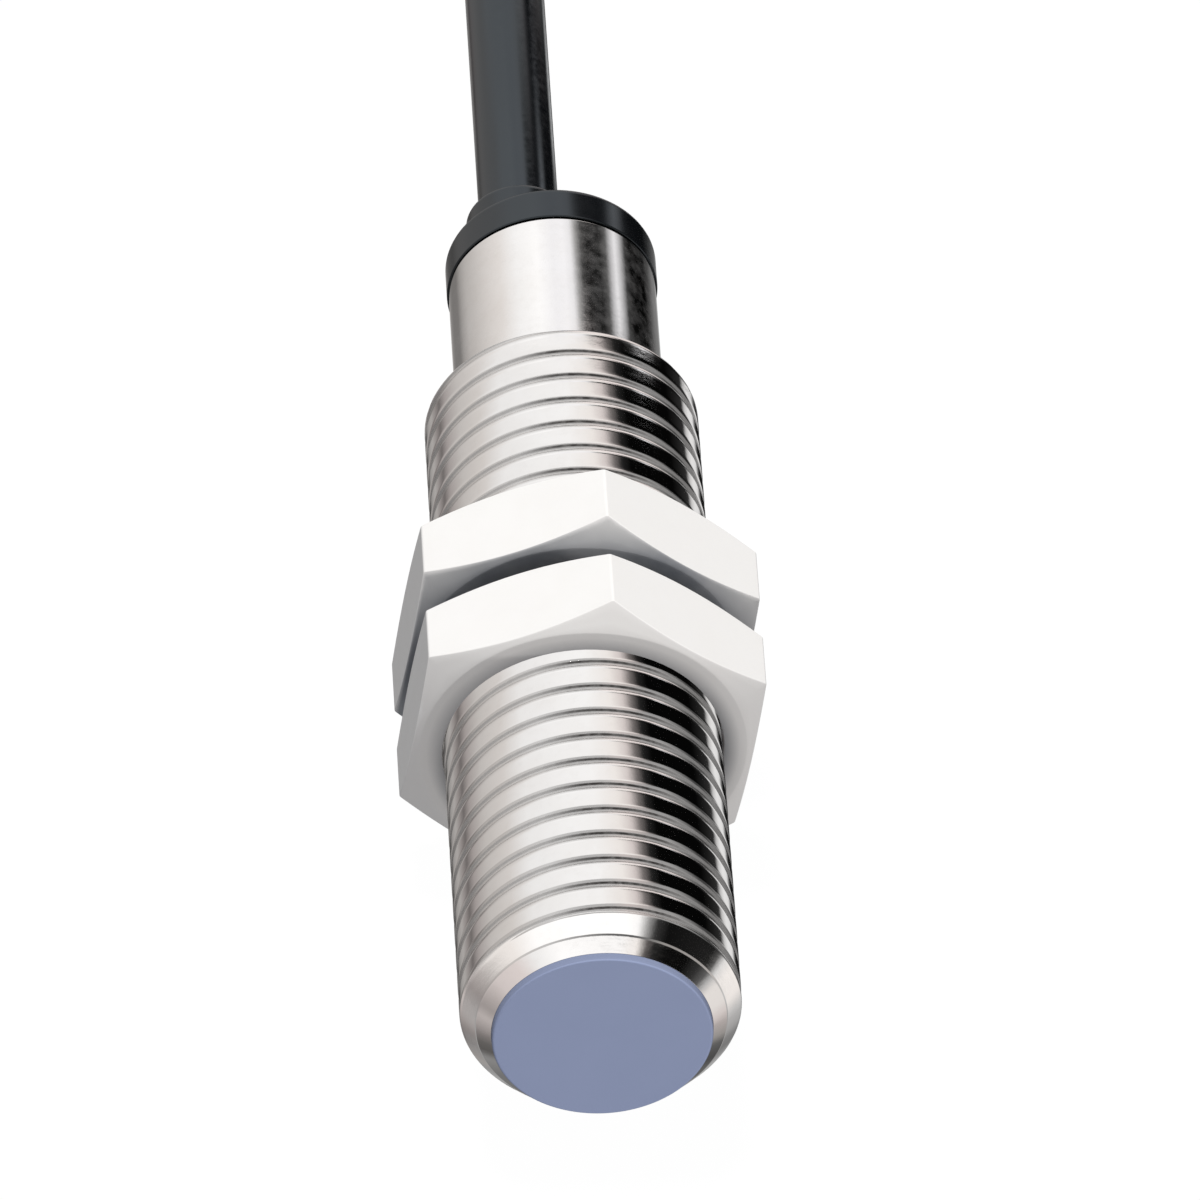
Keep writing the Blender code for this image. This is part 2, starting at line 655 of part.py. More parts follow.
def rear_potting():
    half_x, half_z = 0.95 * MM, 0.30 * MM  # slot for the indicator's legs
    legs_tool = block("led_leg_tool", (LED_X - half_x, LED_X + half_x),
                      (PLUG_TOOL_Y0, PLUG_TOOL_Y1), (LED_Z - half_z, LED_Z + half_z))
    plug = rod("rear_potting", 3.65 * MM, 38.4 * MM, 40.3 * MM, 28, look=RESIN)
    cut(plug, *core_tools, legs_tool)
    finish(plug)


rear_potting()

# ---------------------------------------------------------------- indicator
# Radius and station, mm: a domed body with a wider foot
LED_OUTLINE = in_mm([
    (0.0, 44.0), (0.50, 43.86), (0.86, 43.5), (1.00, 43.0),
    (1.00, 41.6), (1.14, 41.6), (1.14, 41.2), (0.0, 41.2),
])


def led_leg(number, x):
    """A leg that runs forward and bends up to the board's underside."""
    start = Vector((x, LED_LEG_START_Y, LED_Z))
    bend = Vector((x, LED_LEG_BEND_Y, LED_Z))
    pad = Vector((x, LED_LEG_PAD_Y, LED_LEG_PAD_Z))
    points = [start, bend]
    points += [eased(bend, pad, i / 4) for i in range(1, 5)]
    points.append(pad - Vector((0.0, LED_LEG_FOOT, 0.0)))
    return tube(f"led_leg_{number}", points, LED_LEG_R)


led = turned("indicator_led", LED_OUTLINE, LED_RED, LED_STEPS, x=LED_X, z=LED_Z)
for number, offset in enumerate((-LED_LEG_X, LED_LEG_X)):
    cut(led, led_leg(number, LED_X + offset), operation="UNION")
finish(led, 50)
finish(rod("led_lens", 0.88 * MM, 44.6 * MM, 47.60 * MM, LED_STEPS, LED_X, LED_Z, LENS_CLEAR))


# ---------------------------------------------------------------- rear cap
def rear_cap():
    """The skirted cap with its cable boss, bored for the cable, grommet and lens."""
    cap_outline = [
        (0.0, CAP_Y1),
        *rounded_edge(CAP_R, CAP_Y1, CAP_EDGE),
        (CAP_R, CAP_Y0 + FRONT_EDGE),
        (CAP_R - FRONT_EDGE, CAP_Y0),
        (SKIRT_R, CAP_Y0),
        *seal_groove(REAR_SEAL_Y),
        (SKIRT_R, CAP_SKIRT_Y0),
        (CAP_SKIRT_IN_R, CAP_SKIRT_Y0),
        (CAP_SKIRT_IN_R, CAP_WALL_Y),
        (0.0, CAP_WALL_Y),
    ]
    boss_outline = [
        (0.0, BOSS_END_Y),
        *rounded_edge(BOSS_R, BOSS_END_Y, BOSS_EDGE),
        (BOSS_R, CAP_Y1 - BOSS_SINK),
        (0.0, CAP_Y1 - BOSS_SINK),
    ]
    cap = turned("rear_cap", cap_outline, CAP_BLACK)
    boss = turned("cable_boss_form", boss_outline, None, CABLE_STEPS, x=CABLE_X, z=CABLE_Z)
    cut(cap, boss, operation="UNION")
    cut(
        cap,
        rod("cable_tool", CABLE_R + 0.08 * MM, 40.0 * MM, 50.0 * MM, CABLE_STEPS,
            CABLE_X, CABLE_Z),
        rod("grommet_tool", 2.11 * MM, 46.20 * MM, 50.0 * MM, CABLE_STEPS, CABLE_X, CABLE_Z),
        rod("lens_tool", 0.98 * MM, 43.0 * MM, 49.0 * MM, LED_STEPS, LED_X, LED_Z),
    )
    finish(cap)


rear_cap()
seal_ring("rear_seal_ring", REAR_SEAL_Y)

# ---------------------------------------------------------------- grommet and jacket
GROMMET_OUTLINE = sleeve_outline(inner=1.80 * MM, outer=2.04 * MM, y0=46.28 * MM,
                                 y1=48.38 * MM)
JACKET_OUTLINE = [
    (CABLE_IN_R, CABLE_Y1),
    (CABLE_R - CABLE_EDGE, CABLE_Y1),
    (CABLE_R, CABLE_Y1 - CABLE_EDGE),
    (CABLE_R, CABLE_Y0),
    (CABLE_IN_R, CABLE_Y0),
]
for name, outline, look in (("cable_grommet", GROMMET_OUTLINE, RUBBER),
                            ("cable_jacket", JACKET_OUTLINE, CABLE_PVC)):
    finish(turned(name, outline, look, CABLE_STEPS, x=CABLE_X, z=CABLE_Z, closed=True))


# ---------------------------------------------------------------- mounting nuts
def hexagon_mesh(name):
    """A hexagonal bar along Y, longer than the nut, turned NUT_TURN from the top."""
    mesh = bpy.data.meshes.new(name)
    with editing(mesh) as bm:
        bmesh.ops.create_cone(bm, cap_ends=True, segments=6, radius1=NUT_CORNER_R,
                              radius2=NUT_CORNER_R, depth=NUT_T * 2)
        # The six edges along the bar are slightly broken.
        long_edges = [e for e in bm.edges
                      if abs(e.verts[0].co.z - e.verts[1].co.z) > NUT_T]
        bmesh.ops.bevel(bm, geom=long_edges, offset=NUT_CORNER_BREAK, segments=2,
                        affect="EDGES", profile=0.5)
        bmesh.ops.rotate(bm, cent=(0.0, 0.0, 0.0), verts=bm.verts,
                         matrix=Matrix.Rotation(math.pi / 2, 3, "X"))
        top = max(bm.verts, key=lambda v: (round(v.co.z, 7), v.co.x)).co
        lean = math.atan2(top.x, top.z)
        bmesh.ops.rotate(bm, cent=(0.0, 0.0, 0.0), verts=bm.verts,
                         matrix=Matrix.Rotation(NUT_TURN - lean, 3, "Y"))
    return mesh


def nut(name, middle):
    """A hexagon nut whose corners are cut by a flat cone on both faces.

    It hangs from its own pivot, so that it can turn on the barrel.
    """
    obj = bpy.data.objects.new(name, hexagon_mesh(name))
    put(obj, NUT_WHITE, pivot(name + "_axis", display_size=0.008, y=middle))
    half = NUT_T / 2
    drop = (NUT_BLANK_R - NUT_FACE_R) * math.tan(NUT_CHAMFER)
    outline = [
        (NUT_BORE_R, half),
        (NUT_FACE_R, half),
        (NUT_BLANK_R, half - drop),
        (NUT_BLANK_R, drop - half),
        (NUT_FACE_R, -half),
        (NUT_BORE_R, -half),
    ]
    blank = turned(name + "_blank", outline, None, 48, y=middle, closed=True)
    cut(obj, blank, operation="INTERSECT")
    finish(obj, 18.0)


for name, middle in NUT_PLACES.items():
    nut(name, middle)
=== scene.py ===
"""Looks for a proximity sensor: a threaded barrel with a sensing face, two nuts and a cable.

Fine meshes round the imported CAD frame, procedural materials, a white floor, soft studio light and
the camera. Frame: origin at the centre of the sensing face, +Y along the barrel to the cable,
+Z up. Metres; material coordinates are in millimetres.
"""

import json
import math
from contextlib import contextmanager

import bmesh
import bpy
import numpy as np
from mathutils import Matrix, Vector

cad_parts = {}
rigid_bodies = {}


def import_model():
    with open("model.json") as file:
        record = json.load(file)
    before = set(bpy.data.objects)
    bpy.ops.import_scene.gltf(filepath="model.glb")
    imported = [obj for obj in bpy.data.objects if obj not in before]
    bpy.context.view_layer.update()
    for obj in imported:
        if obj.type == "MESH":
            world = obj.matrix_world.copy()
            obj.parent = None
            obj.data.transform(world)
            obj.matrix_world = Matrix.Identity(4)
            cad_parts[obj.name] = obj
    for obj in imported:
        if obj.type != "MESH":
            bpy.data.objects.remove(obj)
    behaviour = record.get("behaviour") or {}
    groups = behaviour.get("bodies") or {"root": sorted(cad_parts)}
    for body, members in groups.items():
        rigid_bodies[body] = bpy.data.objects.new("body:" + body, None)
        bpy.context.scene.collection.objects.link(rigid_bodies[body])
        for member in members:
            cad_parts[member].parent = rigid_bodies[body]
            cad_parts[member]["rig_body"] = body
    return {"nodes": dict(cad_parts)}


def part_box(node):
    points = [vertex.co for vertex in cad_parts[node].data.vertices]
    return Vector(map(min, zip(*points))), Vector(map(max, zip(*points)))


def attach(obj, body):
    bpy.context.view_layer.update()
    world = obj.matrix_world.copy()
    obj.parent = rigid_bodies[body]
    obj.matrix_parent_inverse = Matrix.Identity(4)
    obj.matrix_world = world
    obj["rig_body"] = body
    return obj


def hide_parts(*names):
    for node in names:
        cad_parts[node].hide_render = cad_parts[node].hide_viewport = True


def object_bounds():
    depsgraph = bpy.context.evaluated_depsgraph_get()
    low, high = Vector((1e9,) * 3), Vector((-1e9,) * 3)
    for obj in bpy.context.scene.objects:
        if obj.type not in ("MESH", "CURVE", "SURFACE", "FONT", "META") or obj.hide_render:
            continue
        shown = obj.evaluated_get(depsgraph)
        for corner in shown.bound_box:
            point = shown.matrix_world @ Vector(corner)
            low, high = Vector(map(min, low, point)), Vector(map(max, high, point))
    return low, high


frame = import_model()
CAD_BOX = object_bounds()

MM = 0.001
SCENE = bpy.context.scene
LOOKS = bpy.data.collections.new("looks")
SCENE.collection.children.link(LOOKS)
MAIN_BODY = frame["nodes"]["threaded_barrel"]["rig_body"]

# ------------------------------------------------------------------ barrel sizes
barrel_lo, barrel_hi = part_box("threaded_barrel")
THREAD_R = (barrel_hi.x - barrel_lo.x) / 2
PITCH = 1.48 * MM
SHOULDER_Y = 1.698 * MM  # the first groove's middle at the top of the barrel
THREAD_END_Y = 37.2 * MM
RIM_R, RIM_Y = 5.334 * MM, 0.858 * MM  # the edge between the mouth chamfer and the front cone
MOUTH_R, MOUTH_Y = 4.70 * MM, barrel_lo.y
MOUTH_DEPTH_Y = 1.55 * MM
BORE_R = 4.05 * MM
TAIL_R = 4.568 * MM
TAIL_END_Y = barrel_hi.y
GROOVE_HALF = 0.420 * MM  # to the far edge of its rounded shoulders
GROOVE_DEPTH = 0.115 * MM

# The skirts of the two plastic end caps: outside, and the bottom of the groove round them.
SKIRT_R, SKIRT_GROOVE_R = 3.95 * MM, 3.58 * MM


# ------------------------------------------------------------------ mesh helpers
@contextmanager
def editing(mesh):
    """Opens a mesh for editing and writes it back."""
    edit = bmesh.new()
    edit.from_mesh(mesh)
    yield edit
    edit.to_mesh(mesh)
    edit.free()


def add_piece(name, verts, faces, material, weld=2e-7, **dressing):
    """Makes a welded mesh object from points and faces, and dresses it."""
    mesh = bpy.data.meshes.new(name)
    mesh.from_pydata([tuple(v) for v in verts], [], [tuple(f) for f in faces])
    mesh.validate()
    with editing(mesh) as edit:
        bmesh.ops.remove_doubles(edit, verts=edit.verts, dist=weld)
        bmesh.ops.dissolve_degenerate(edit, edges=edit.edges, dist=weld)
        loose = [v for v in edit.verts if not v.link_faces]
        if loose:
            bmesh.ops.delete(edit, geom=loose, context="VERTS")
        bmesh.ops.recalc_face_normals(edit, faces=edit.faces)
    obj = bpy.data.objects.new(name, mesh)
    LOOKS.objects.link(obj)
    return dress(obj, material, **dressing)


def dress(obj, material, stands_for, slot, body=MAIN_BODY, sharp=32.0, weighted=False):
    """Gives an object its material and shading, and lets it ride on a body for a CAD node."""
    obj.data.materials.clear()
    obj.data.materials.append(material)
    obj.data.shade_smooth()
    obj.data.set_sharp_from_angle(angle=math.radians(sharp))
    if weighted:
        normals = obj.modifiers.new("normals", "WEIGHTED_NORMAL")
        normals.keep_sharp = True
        normals.weight = 90
    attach(obj, body)
    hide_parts(stands_for)
    return obj


def rounded(corners, segments=4, closed=False):
    """A polyline of (radius, y, rounding) corners as (radius, y) points. Rounding 0 is sharp."""
    made = []
    points = [np.array(corner[:2], float) for corner in corners]
    count = len(points)
    for i, (here, corner) in enumerate(zip(points, corners)):
        rounding = corner[2]
        if rounding <= 0 or (not closed and i in (0, count - 1)):
            made.append(tuple(here))
            continue
        before, after = points[i - 1] - here, points[(i + 1) % count] - here
        before_length, after_length = np.linalg.norm(before), np.linalg.norm(after)
        before, after = before / before_length, after / after_length
        half = math.acos(max(-1.0, min(1.0, float(before @ after)))) / 2
        reach = min(rounding / math.tan(half), 0.49 * before_length, 0.49 * after_length)
        rounding = reach * math.tan(half)
        both = before + after
        middle = here + both / np.linalg.norm(both) * rounding / math.sin(half)
        start, end = here + before * reach - middle, here + after * reach - middle
        turn = math.atan2(start[0] * end[1] - start[1] * end[0], float(start @ end))
        # A row just outside each end of the arc keeps the straight runs straight when shaded.
        room_before, room_after = (min(0.3 * reach, 0.2 * (0.5 * length - reach))
                                   for length in (before_length, after_length))
        if room_before > 2e-6:
            made.append(tuple(here + before * (reach + room_before)))
        for k in range(segments + 1):
            t = turn * k / segments
            cos, sin = math.cos(t), math.sin(t)
            made.append((middle[0] + start[0] * cos - start[1] * sin,
                         middle[1] + start[0] * sin + start[1] * cos))
        if room_after > 2e-6:
            made.append(tuple(here + after * (reach + room_after)))
    return made


def around(angle, radius, y=0.0, x=0.0, z=0.0):
    """The point at an angle from the top, towards +X, about an axis parallel to +Y."""
    return x + radius * math.sin(angle), y, z + radius * math.cos(angle)


def ring_faces(rows, steps, closed=False):
    """Faces between successive rings of points; closed joins the last ring to the first."""
    faces = []
    for i in range(rows if closed else rows - 1):
        j = (i + 1) % rows
        for k in range(steps):
            n = (k + 1) % steps
            faces.append((i * steps + k, j * steps + k, j * steps + n, i * steps + n))
    return faces


def lathe_mesh(outline, steps, x=0.0, z=0.0, closed=False):
    """Points and faces of an outline of (radius, y) turned about an axis parallel to +Y."""
    verts = [around(2 * math.pi * k / steps, radius, y, x, z)
             for radius, y in outline for k in range(steps)]
    return verts, ring_faces(len(outline), steps, closed)


def lathe(name, outline, material, steps=128, x=0.0, z=0.0, closed=False, **dressing):
    verts, faces = lathe_mesh(outline, steps, x, z, closed)
    return add_piece(name, verts, faces, material, **dressing)


def frames_along(path):
    """A path with two unit normals at each point that turn as little as possible along it."""
    path = np.array(path, float)
    tangents = np.gradient(path, axis=0)
    tangents /= np.linalg.norm(tangents, axis=1)[:, None]
    side = np.array([1.0, 0.0, 0.0])
    sides, ups = [], []
    for tangent in tangents:
        side = side - tangent * (side @ tangent)
        side /= np.linalg.norm(side)
        sides.append(side.copy())
        ups.append(np.cross(tangent, side))
    return path, np.array(sides), np.array(ups)


def sweep(path, radii, sides):
    """A round tube with open ends, with one radius for each point of the path."""
    path, across, up = frames_along(path)
    verts = []
    for i, radius in enumerate(radii):
        for k in range(sides):
            t = 2 * math.pi * k / sides
            verts.append(path[i] + radius * (math.cos(t) * across[i] + math.sin(t) * up[i]))
    return verts, ring_faces(len(path), sides)


def joined(*meshes):
    verts, faces = [], []
    for some_verts, some_faces in meshes:
        base = len(verts)
        verts += list(some_verts)
        faces += [tuple(base + i for i in face) for face in some_faces]
    return verts, faces


# ------------------------------------------------------------------ node helpers
EVEN = (1000.0, 1000.0, 1000.0)  # takes object coordinates from metres to millimetres


class Look:
    """Builds the nodes of a material, or of a world."""

    def __init__(self, name, world=None):
        self.owner = world or bpy.data.materials.new(name)
        self.owner.use_nodes = True
        self.tree = self.owner.node_tree
        self.tree.nodes.clear()
        self.base = None
        self.mapped = {}

    def node(self, kind, **settings):
        made = self.tree.nodes.new(kind)
        for key, value in settings.items():
            setattr(made, key, value)
        return made

    def feed(self, socket, value):
        """Links a socket or sets a value; a colour of three numbers gets an alpha of 1."""
        if isinstance(value, bpy.types.NodeSocket):
            self.tree.links.new(value, socket)
        elif hasattr(value, "__len__") and len(value) == 3:
            socket.default_value = (*value, 1.0)
        else:
            socket.default_value = value

    def coords(self, stretch=EVEN):
        """Object coordinates in millimetres, stretched by stretch / 1000."""
        if stretch not in self.mapped:
            if self.base is None:
                self.base = self.node("ShaderNodeTexCoord").outputs["Object"]
            made = self.node("ShaderNodeMapping")
            self.feed(made.inputs["Vector"], self.base)
            made.inputs["Scale"].default_value = stretch
            self.mapped[stretch] = made.outputs["Vector"]
        return self.mapped[stretch]

    def split(self, vector):
        made = self.node("ShaderNodeSeparateXYZ")
        self.feed(made.inputs[0], vector)
        return made.outputs

    def calc(self, operation, *values):
        made = self.node("ShaderNodeMath", operation=operation)
        for socket, value in zip(made.inputs, values):
            self.feed(socket, value)
        return made.outputs[0]

    def times(self, value, *others):
        for other in others:
            value = self.calc("MULTIPLY", value, other)
        return value

    def plus(self, value, *others):
        for other in others:
            value = self.calc("ADD", value, other)
        return value

    def noise(self, scale, detail=3.0, rough=0.5, stretch=EVEN):
        made = self.node("ShaderNodeTexNoise")
        self.feed(made.inputs["Vector"], self.coords(stretch))
        made.inputs["Scale"].default_value = scale
        made.inputs["Detail"].default_value = detail
        made.inputs["Roughness"].default_value = rough
        return made.outputs["Fac"]

    def cells(self, scale, stretch=EVEN, feature="F1", randomness=1.0):
        made = self.node("ShaderNodeTexVoronoi", feature=feature)
        self.feed(made.inputs["Vector"], self.coords(stretch))
        made.inputs["Scale"].default_value = scale
        made.inputs["Randomness"].default_value = randomness
        return made.outputs["Distance"]

    def span(self, value, over, to=(0.0, 1.0), smooth=False):
        """Maps the range over onto the range to, and holds the ends."""
        made = self.node("ShaderNodeMapRange", clamp=True,
                         interpolation_type="SMOOTHSTEP" if smooth else "LINEAR")
        for socket, number in zip(made.inputs, (value, *over, *to)):
            self.feed(socket, number)
        return made.outputs[0]

    def ramp(self, value, stops):
        made = self.node("ShaderNodeValToRGB")
        self.feed(made.inputs[0], value)
        band = made.color_ramp
        while len(band.elements) > 1:
            band.elements.remove(band.elements[0])
        for number, (position, colour) in enumerate(stops):
            stop = band.elements.new(position) if number else band.elements[0]
            stop.position = position
            stop.color = (*colour, 1.0)
        return made.outputs[0]

    def mix(self, factor, a, b):
        """A mix of two colours."""
        made = self.node("ShaderNodeMix", data_type="RGBA", blend_type="MIX")
        for index, value in ((0, factor), (6, a), (7, b)):
            self.feed(made.inputs[index], value)
        return made.outputs[2]

    def blend(self, factor, a, b):
        """A mix of two numbers."""
        made = self.node("ShaderNodeMix", data_type="FLOAT")
        for index, value in ((0, factor), (2, a), (3, b)):
            self.feed(made.inputs[index], value)
        return made.outputs[0]

    def bump(self, height, distance, after=None):
        made = self.node("ShaderNodeBump")
        self.feed(made.inputs["Height"], height)
        made.inputs["Distance"].default_value = distance
        if after is not None:
            self.feed(made.inputs["Normal"], after)
        return made.outputs["Normal"]

    def glow(self, colour, strength, kind="ShaderNodeEmission"):
        made = self.node(kind)
        self.feed(made.inputs["Color"], colour)
        self.feed(made.inputs["Strength"], strength)
        return made.outputs[0]

    def pick(self, factor, a, b):
        """A mix of two shaders."""
        made = self.node("ShaderNodeMixShader")
        for socket, value in zip(made.inputs, (factor, a, b)):
            self.feed(socket, value)
        return made.outputs[0]

    def output(self, shader, kind="ShaderNodeOutputMaterial"):
        self.feed(self.node(kind).inputs["Surface"], shader)
        return self.owner

    def finish(self, colour, roughness, metallic, normal, **inputs):
        shader = self.node("ShaderNodeBsdfPrincipled")
        self.feed(shader.inputs["Base Color"], colour)
        self.feed(shader.inputs["Roughness"], roughness)
        self.feed(shader.inputs["Metallic"], metallic)
        self.feed(shader.inputs["Normal"], normal)
        for key, value in inputs.items():
            self.feed(shader.inputs[key.replace("_", " ")], value)
        return self.output(shader.outputs[0])


# ------------------------------------------------------------------ materials
def nickel_look():
    """Nickel plate on turned brass: lathe lines, mottle, worn thread, painted root shade."""
    look = Look("nickel_plate")
    x, y, z = look.split(look.coords())
    radius = look.calc("SQRT", look.plus(look.times(x, x), look.times(z, z)))
    on_tail = look.span(y, over=(37.25, 37.6))
    inside = look.span(radius, over=(4.45, 4.30))
    lathe_lines = look.noise(scale=1.0, detail=4.0, rough=0.62, stretch=(260.0, 16000.0, 260.0))
    mottle = look.noise(scale=2.6, detail=5.0, rough=0.62)
    cloud = look.noise(scale=0.45)
    haze = look.noise(scale=1.5, detail=6.0, rough=0.62)
    streaks = look.noise(scale=1.0, detail=2.0, stretch=(1200.0, 9000.0, 9500.0))
    scratch = look.times(look.span(streaks, over=(0.74, 0.80)),
                         look.span(cloud, over=(0.50, 0.66)), look.span(y, over=(37.4, 37.6)))

    # The distance in millimetres from the nearest groove's middle, and from a line behind it.
    turns = look.calc("DIVIDE", look.calc("SUBTRACT", y, SHOULDER_Y / MM), PITCH / MM)
    turned = look.calc("DIVIDE", look.calc("ARCTAN2", x, z), 2 * math.pi)
    turns = look.calc("SUBTRACT", turns, turned)

    def from_groove(shift):
        share = look.calc("FRACT", look.plus(turns, shift))
        return look.times(look.calc("ABSOLUTE", look.calc("SUBTRACT", share, 0.5)), PITCH / MM)

    away, behind = from_groove(shift=50.5), from_groove(shift=50.42)
    in_thread = look.times(look.span(y, over=(1.50, 1.66)), look.span(y, over=(37.24, 37.16)),
                           look.span(radius, over=(4.9, 5.2)))
    wander = look.noise(scale=2.2, rough=0.55)
    root_edge = look.span(wander, over=(0.3, 0.7), to=(0.085, 0.115))
    root = look.times(look.span(behind, over=(root_edge, 0.030), smooth=True), in_thread)
    worn_edge = look.span(wander, over=(0.3, 0.7), to=(0.34, 0.42))
    worn = look.times(look.span(away, over=(worn_edge, 0.17), smooth=True), in_thread)

    # The painted root shade is stronger along the top of the thread than on its sides.
    from_top = look.calc("SUBTRACT", look.calc("ARCTAN2", x, z), math.radians(11.0))
    stronger_on_top = look.span(look.calc("ABSOLUTE", from_top),
                      over=(math.radians(12.0), math.radians(36.0)), to=(1.0, 0.45), smooth=True)
    patches = look.span(look.noise(scale=3.5), over=(0.25, 0.6), to=(0.85, 1.0))
    # Painted shade in the thread's roots, in soft patches.
    painted_root_shade = look.times(root, stronger_on_top, patches)

    plate = look.mix(look.span(cloud, over=(0.35, 0.65)),
                     (0.835, 0.815, 0.800), (0.860, 0.845, 0.835))
    plate = look.mix(look.span(mottle, over=(0.50, 0.72), to=(0.0, 0.10)),
                     plate, (0.60, 0.57, 0.545))
    plate = look.mix(look.times(scratch, 0.35), plate, (0.93, 0.92, 0.91))
    # Painted shade: the roots go near black.
    plate = look.mix(painted_root_shade, plate, (0.030, 0.027, 0.026))
    plate = look.mix(inside, plate, (0.62, 0.50, 0.30))
    rough = look.plus(
        look.span(mottle, over=(0.3, 0.75), to=(0.035, 0.070)),
        look.span(lathe_lines, over=(0.35, 0.7), to=(0.0, 0.020)),
        look.times(scratch, 0.05),
        look.times(look.span(haze, over=(0.40, 0.70), to=(0.0, 0.025)), on_tail),
        look.times(worn, 0.09))
    rough = look.blend(painted_root_shade, rough, 0.60)
    normal = look.bump(lathe_lines, distance=5e-7)
    normal = look.bump(mottle, distance=1.8e-6, after=normal)
    # A thin bloom on the plain tail: a little of it scatters light.
    bloom = look.times(look.span(haze, over=(0.40, 0.66), to=(0.0, 0.055)), on_tail)
    # The painted root shade also takes the metal away, so the roots stay dark.
    dull = look.calc("MAXIMUM", look.times(painted_root_shade, 0.8), bloom)
    return look.finish(plate, rough, look.calc("SUBTRACT", 1.0, dull), normal)


def plastic_look(name, base, shade, roughness, grain, depth, wear=None, ior=1.5, cloud=0.6,
                 sheen_spread=0.10, painted_wall_shade=None, painted_gap_shade=None, **more):
    """A moulded plastic: two close shades in soft clouds, a fine grain, and rubbed edges.

    grain and cloud are noise scales, depth is the grain's height, wear the rubbed colour.
    """
    look = Look(name)
    soft = look.noise(scale=cloud, detail=4.0, rough=0.55)
    fine = look.noise(scale=grain, rough=0.6)
    pits = look.cells(scale=grain * 0.55)
    colour = look.mix(look.span(soft, over=(0.34, 0.68)), base, shade)
    colour = look.mix(look.span(fine, over=(0.35, 0.75), to=(0.0, 0.12)), colour, shade)
    rough = look.span(soft, over=(0.3, 0.7),
                      to=(roughness - sheen_spread / 2, roughness + sheen_spread / 2))
    if wear is not None:
        convex = look.node("ShaderNodeNewGeometry").outputs["Pointiness"]
        rubbed = look.times(look.span(convex, over=(0.52, 0.60)), look.span(
            look.noise(scale=1.7, detail=4.0, rough=0.6), over=(0.35, 0.65)))
        colour = look.mix(look.times(rubbed, 0.6), colour, wear)
        rough = look.calc("SUBTRACT", rough, look.times(rubbed, 0.08))
    if painted_wall_shade is not None:
        # Painted shade: the wall behind the front face is painted a darker shade.
        y = look.split(look.coords())[1]
        colour = look.mix(look.span(y, over=(0.004, 0.050)), colour, painted_wall_shade)
    if painted_gap_shade is not None:
        # Painted shade on the two surfaces that face each other across this gap.
        middle, reach, dust_and_painted_shade = painted_gap_shade
        off = look.calc("SUBTRACT", look.split(look.coords())[1], middle)
        across = look.split(look.node("ShaderNodeNewGeometry").outputs["Normal"])[1]
        inward = look.times(across, look.calc("SIGN", off))
        radius = look.node("ShaderNodeVectorMath", operation="LENGTH")
        look.feed(radius.inputs[0], look.coords((1000.0, 0.0, 1000.0)))
        radius = radius.outputs["Value"]
        held = look.times(
            look.span(inward, over=(-0.45, -0.85)),
            look.span(look.calc("ABSOLUTE", off), over=(reach, reach - 0.15)),
            look.span(radius, over=(8.1, 6.9), to=(0.12, 1.0)),
            look.span(look.noise(scale=0.30), over=(0.36, 0.66), to=(0.70, 1.0)))
        colour = look.mix(held, colour, dust_and_painted_shade)
        # Painted shade: a darker ring on the end faces next to the barrel.
        ring = look.times(look.span(radius, over=(6.75, 6.10)),
                          look.span(look.calc("ABSOLUTE", across), over=(0.6, 0.9)))
        colour = look.mix(look.times(ring, 0.50), colour, dust_and_painted_shade)
    height = look.plus(look.times(fine, 0.6), look.times(pits, 0.4))
    return look.finish(colour, rough, 0.0, look.bump(height, distance=depth), IOR=ior, **more)


def cable_look(name, base, shade, roughness, ior=1.5, lines=1.5e-6, **more):
    """An extruded skin: faint draw lines, lines deep, along the length over an orange peel."""
    look = Look(name)
    draw = look.noise(scale=1.0, rough=0.6, stretch=(5200.0, 60.0, 5200.0))
    peel = look.noise(scale=3.2, rough=0.55)
    dust_and_painted_shade = look.span(look.noise(scale=0.35, detail=4.0, rough=0.6), over=(0.45, 0.75))
    colour = look.mix(look.span(peel, over=(0.35, 0.7)), base, shade)
    rough = look.plus(look.span(peel, over=(0.3, 0.7), to=(roughness - 0.04, roughness + 0.04)),
                      look.times(dust_and_painted_shade, 0.05))
    normal = look.bump(draw, distance=lines)
    normal = look.bump(peel, distance=lines * 1.6, after=normal)
    return look.finish(colour, rough, 0.0, normal, IOR=ior, **more)


def metal_look(name, base, shade, roughness, scale, depth=2e-6, stretch=EVEN):
    """A bare metal with tarnish in clouds and a grain of the given scale and depth."""
    look = Look(name)
    grain = look.noise(scale=scale, detail=4.0, rough=0.6, stretch=stretch)
    tarnish = look.noise(scale=0.9, detail=4.0, rough=0.6)
    colour = look.mix(look.span(tarnish, over=(0.4, 0.7)), base, shade)
    rough = look.span(grain, over=(0.3, 0.7), to=(roughness - 0.05, roughness + 0.08))
    return look.finish(colour, rough, 1.0, look.bump(grain, distance=depth))


def winding_look():
    """Close turns of enamelled wire: a crown for each turn, and painted shade between turns."""
    turns_per_mm = 7.0
    look = Look("enamelled_copper")
    y = look.split(look.coords())[1]
    turn = look.calc("FRACT", look.times(y, turns_per_mm))
    crown = look.calc("SINE", look.times(turn, math.pi))
    tone = look.noise(scale=1.6)
    # Painted shade: dark where each turn meets the next.
    colour = look.mix(look.span(crown, over=(0.05, 0.5)),
                      (0.05, 0.015, 0.006), (0.42, 0.13, 0.045))
    colour = look.mix(look.span(tone, over=(0.4, 0.7), to=(0.0, 0.5)), colour, (0.55, 0.21, 0.08))
    rough = look.span(tone, over=(0.3, 0.7), to=(0.22, 0.36))
    return look.finish(colour, rough, metallic=0.55, normal=look.bump(crown, distance=4e-5),
                       Coat_Weight=0.5, Coat_Roughness=0.12)


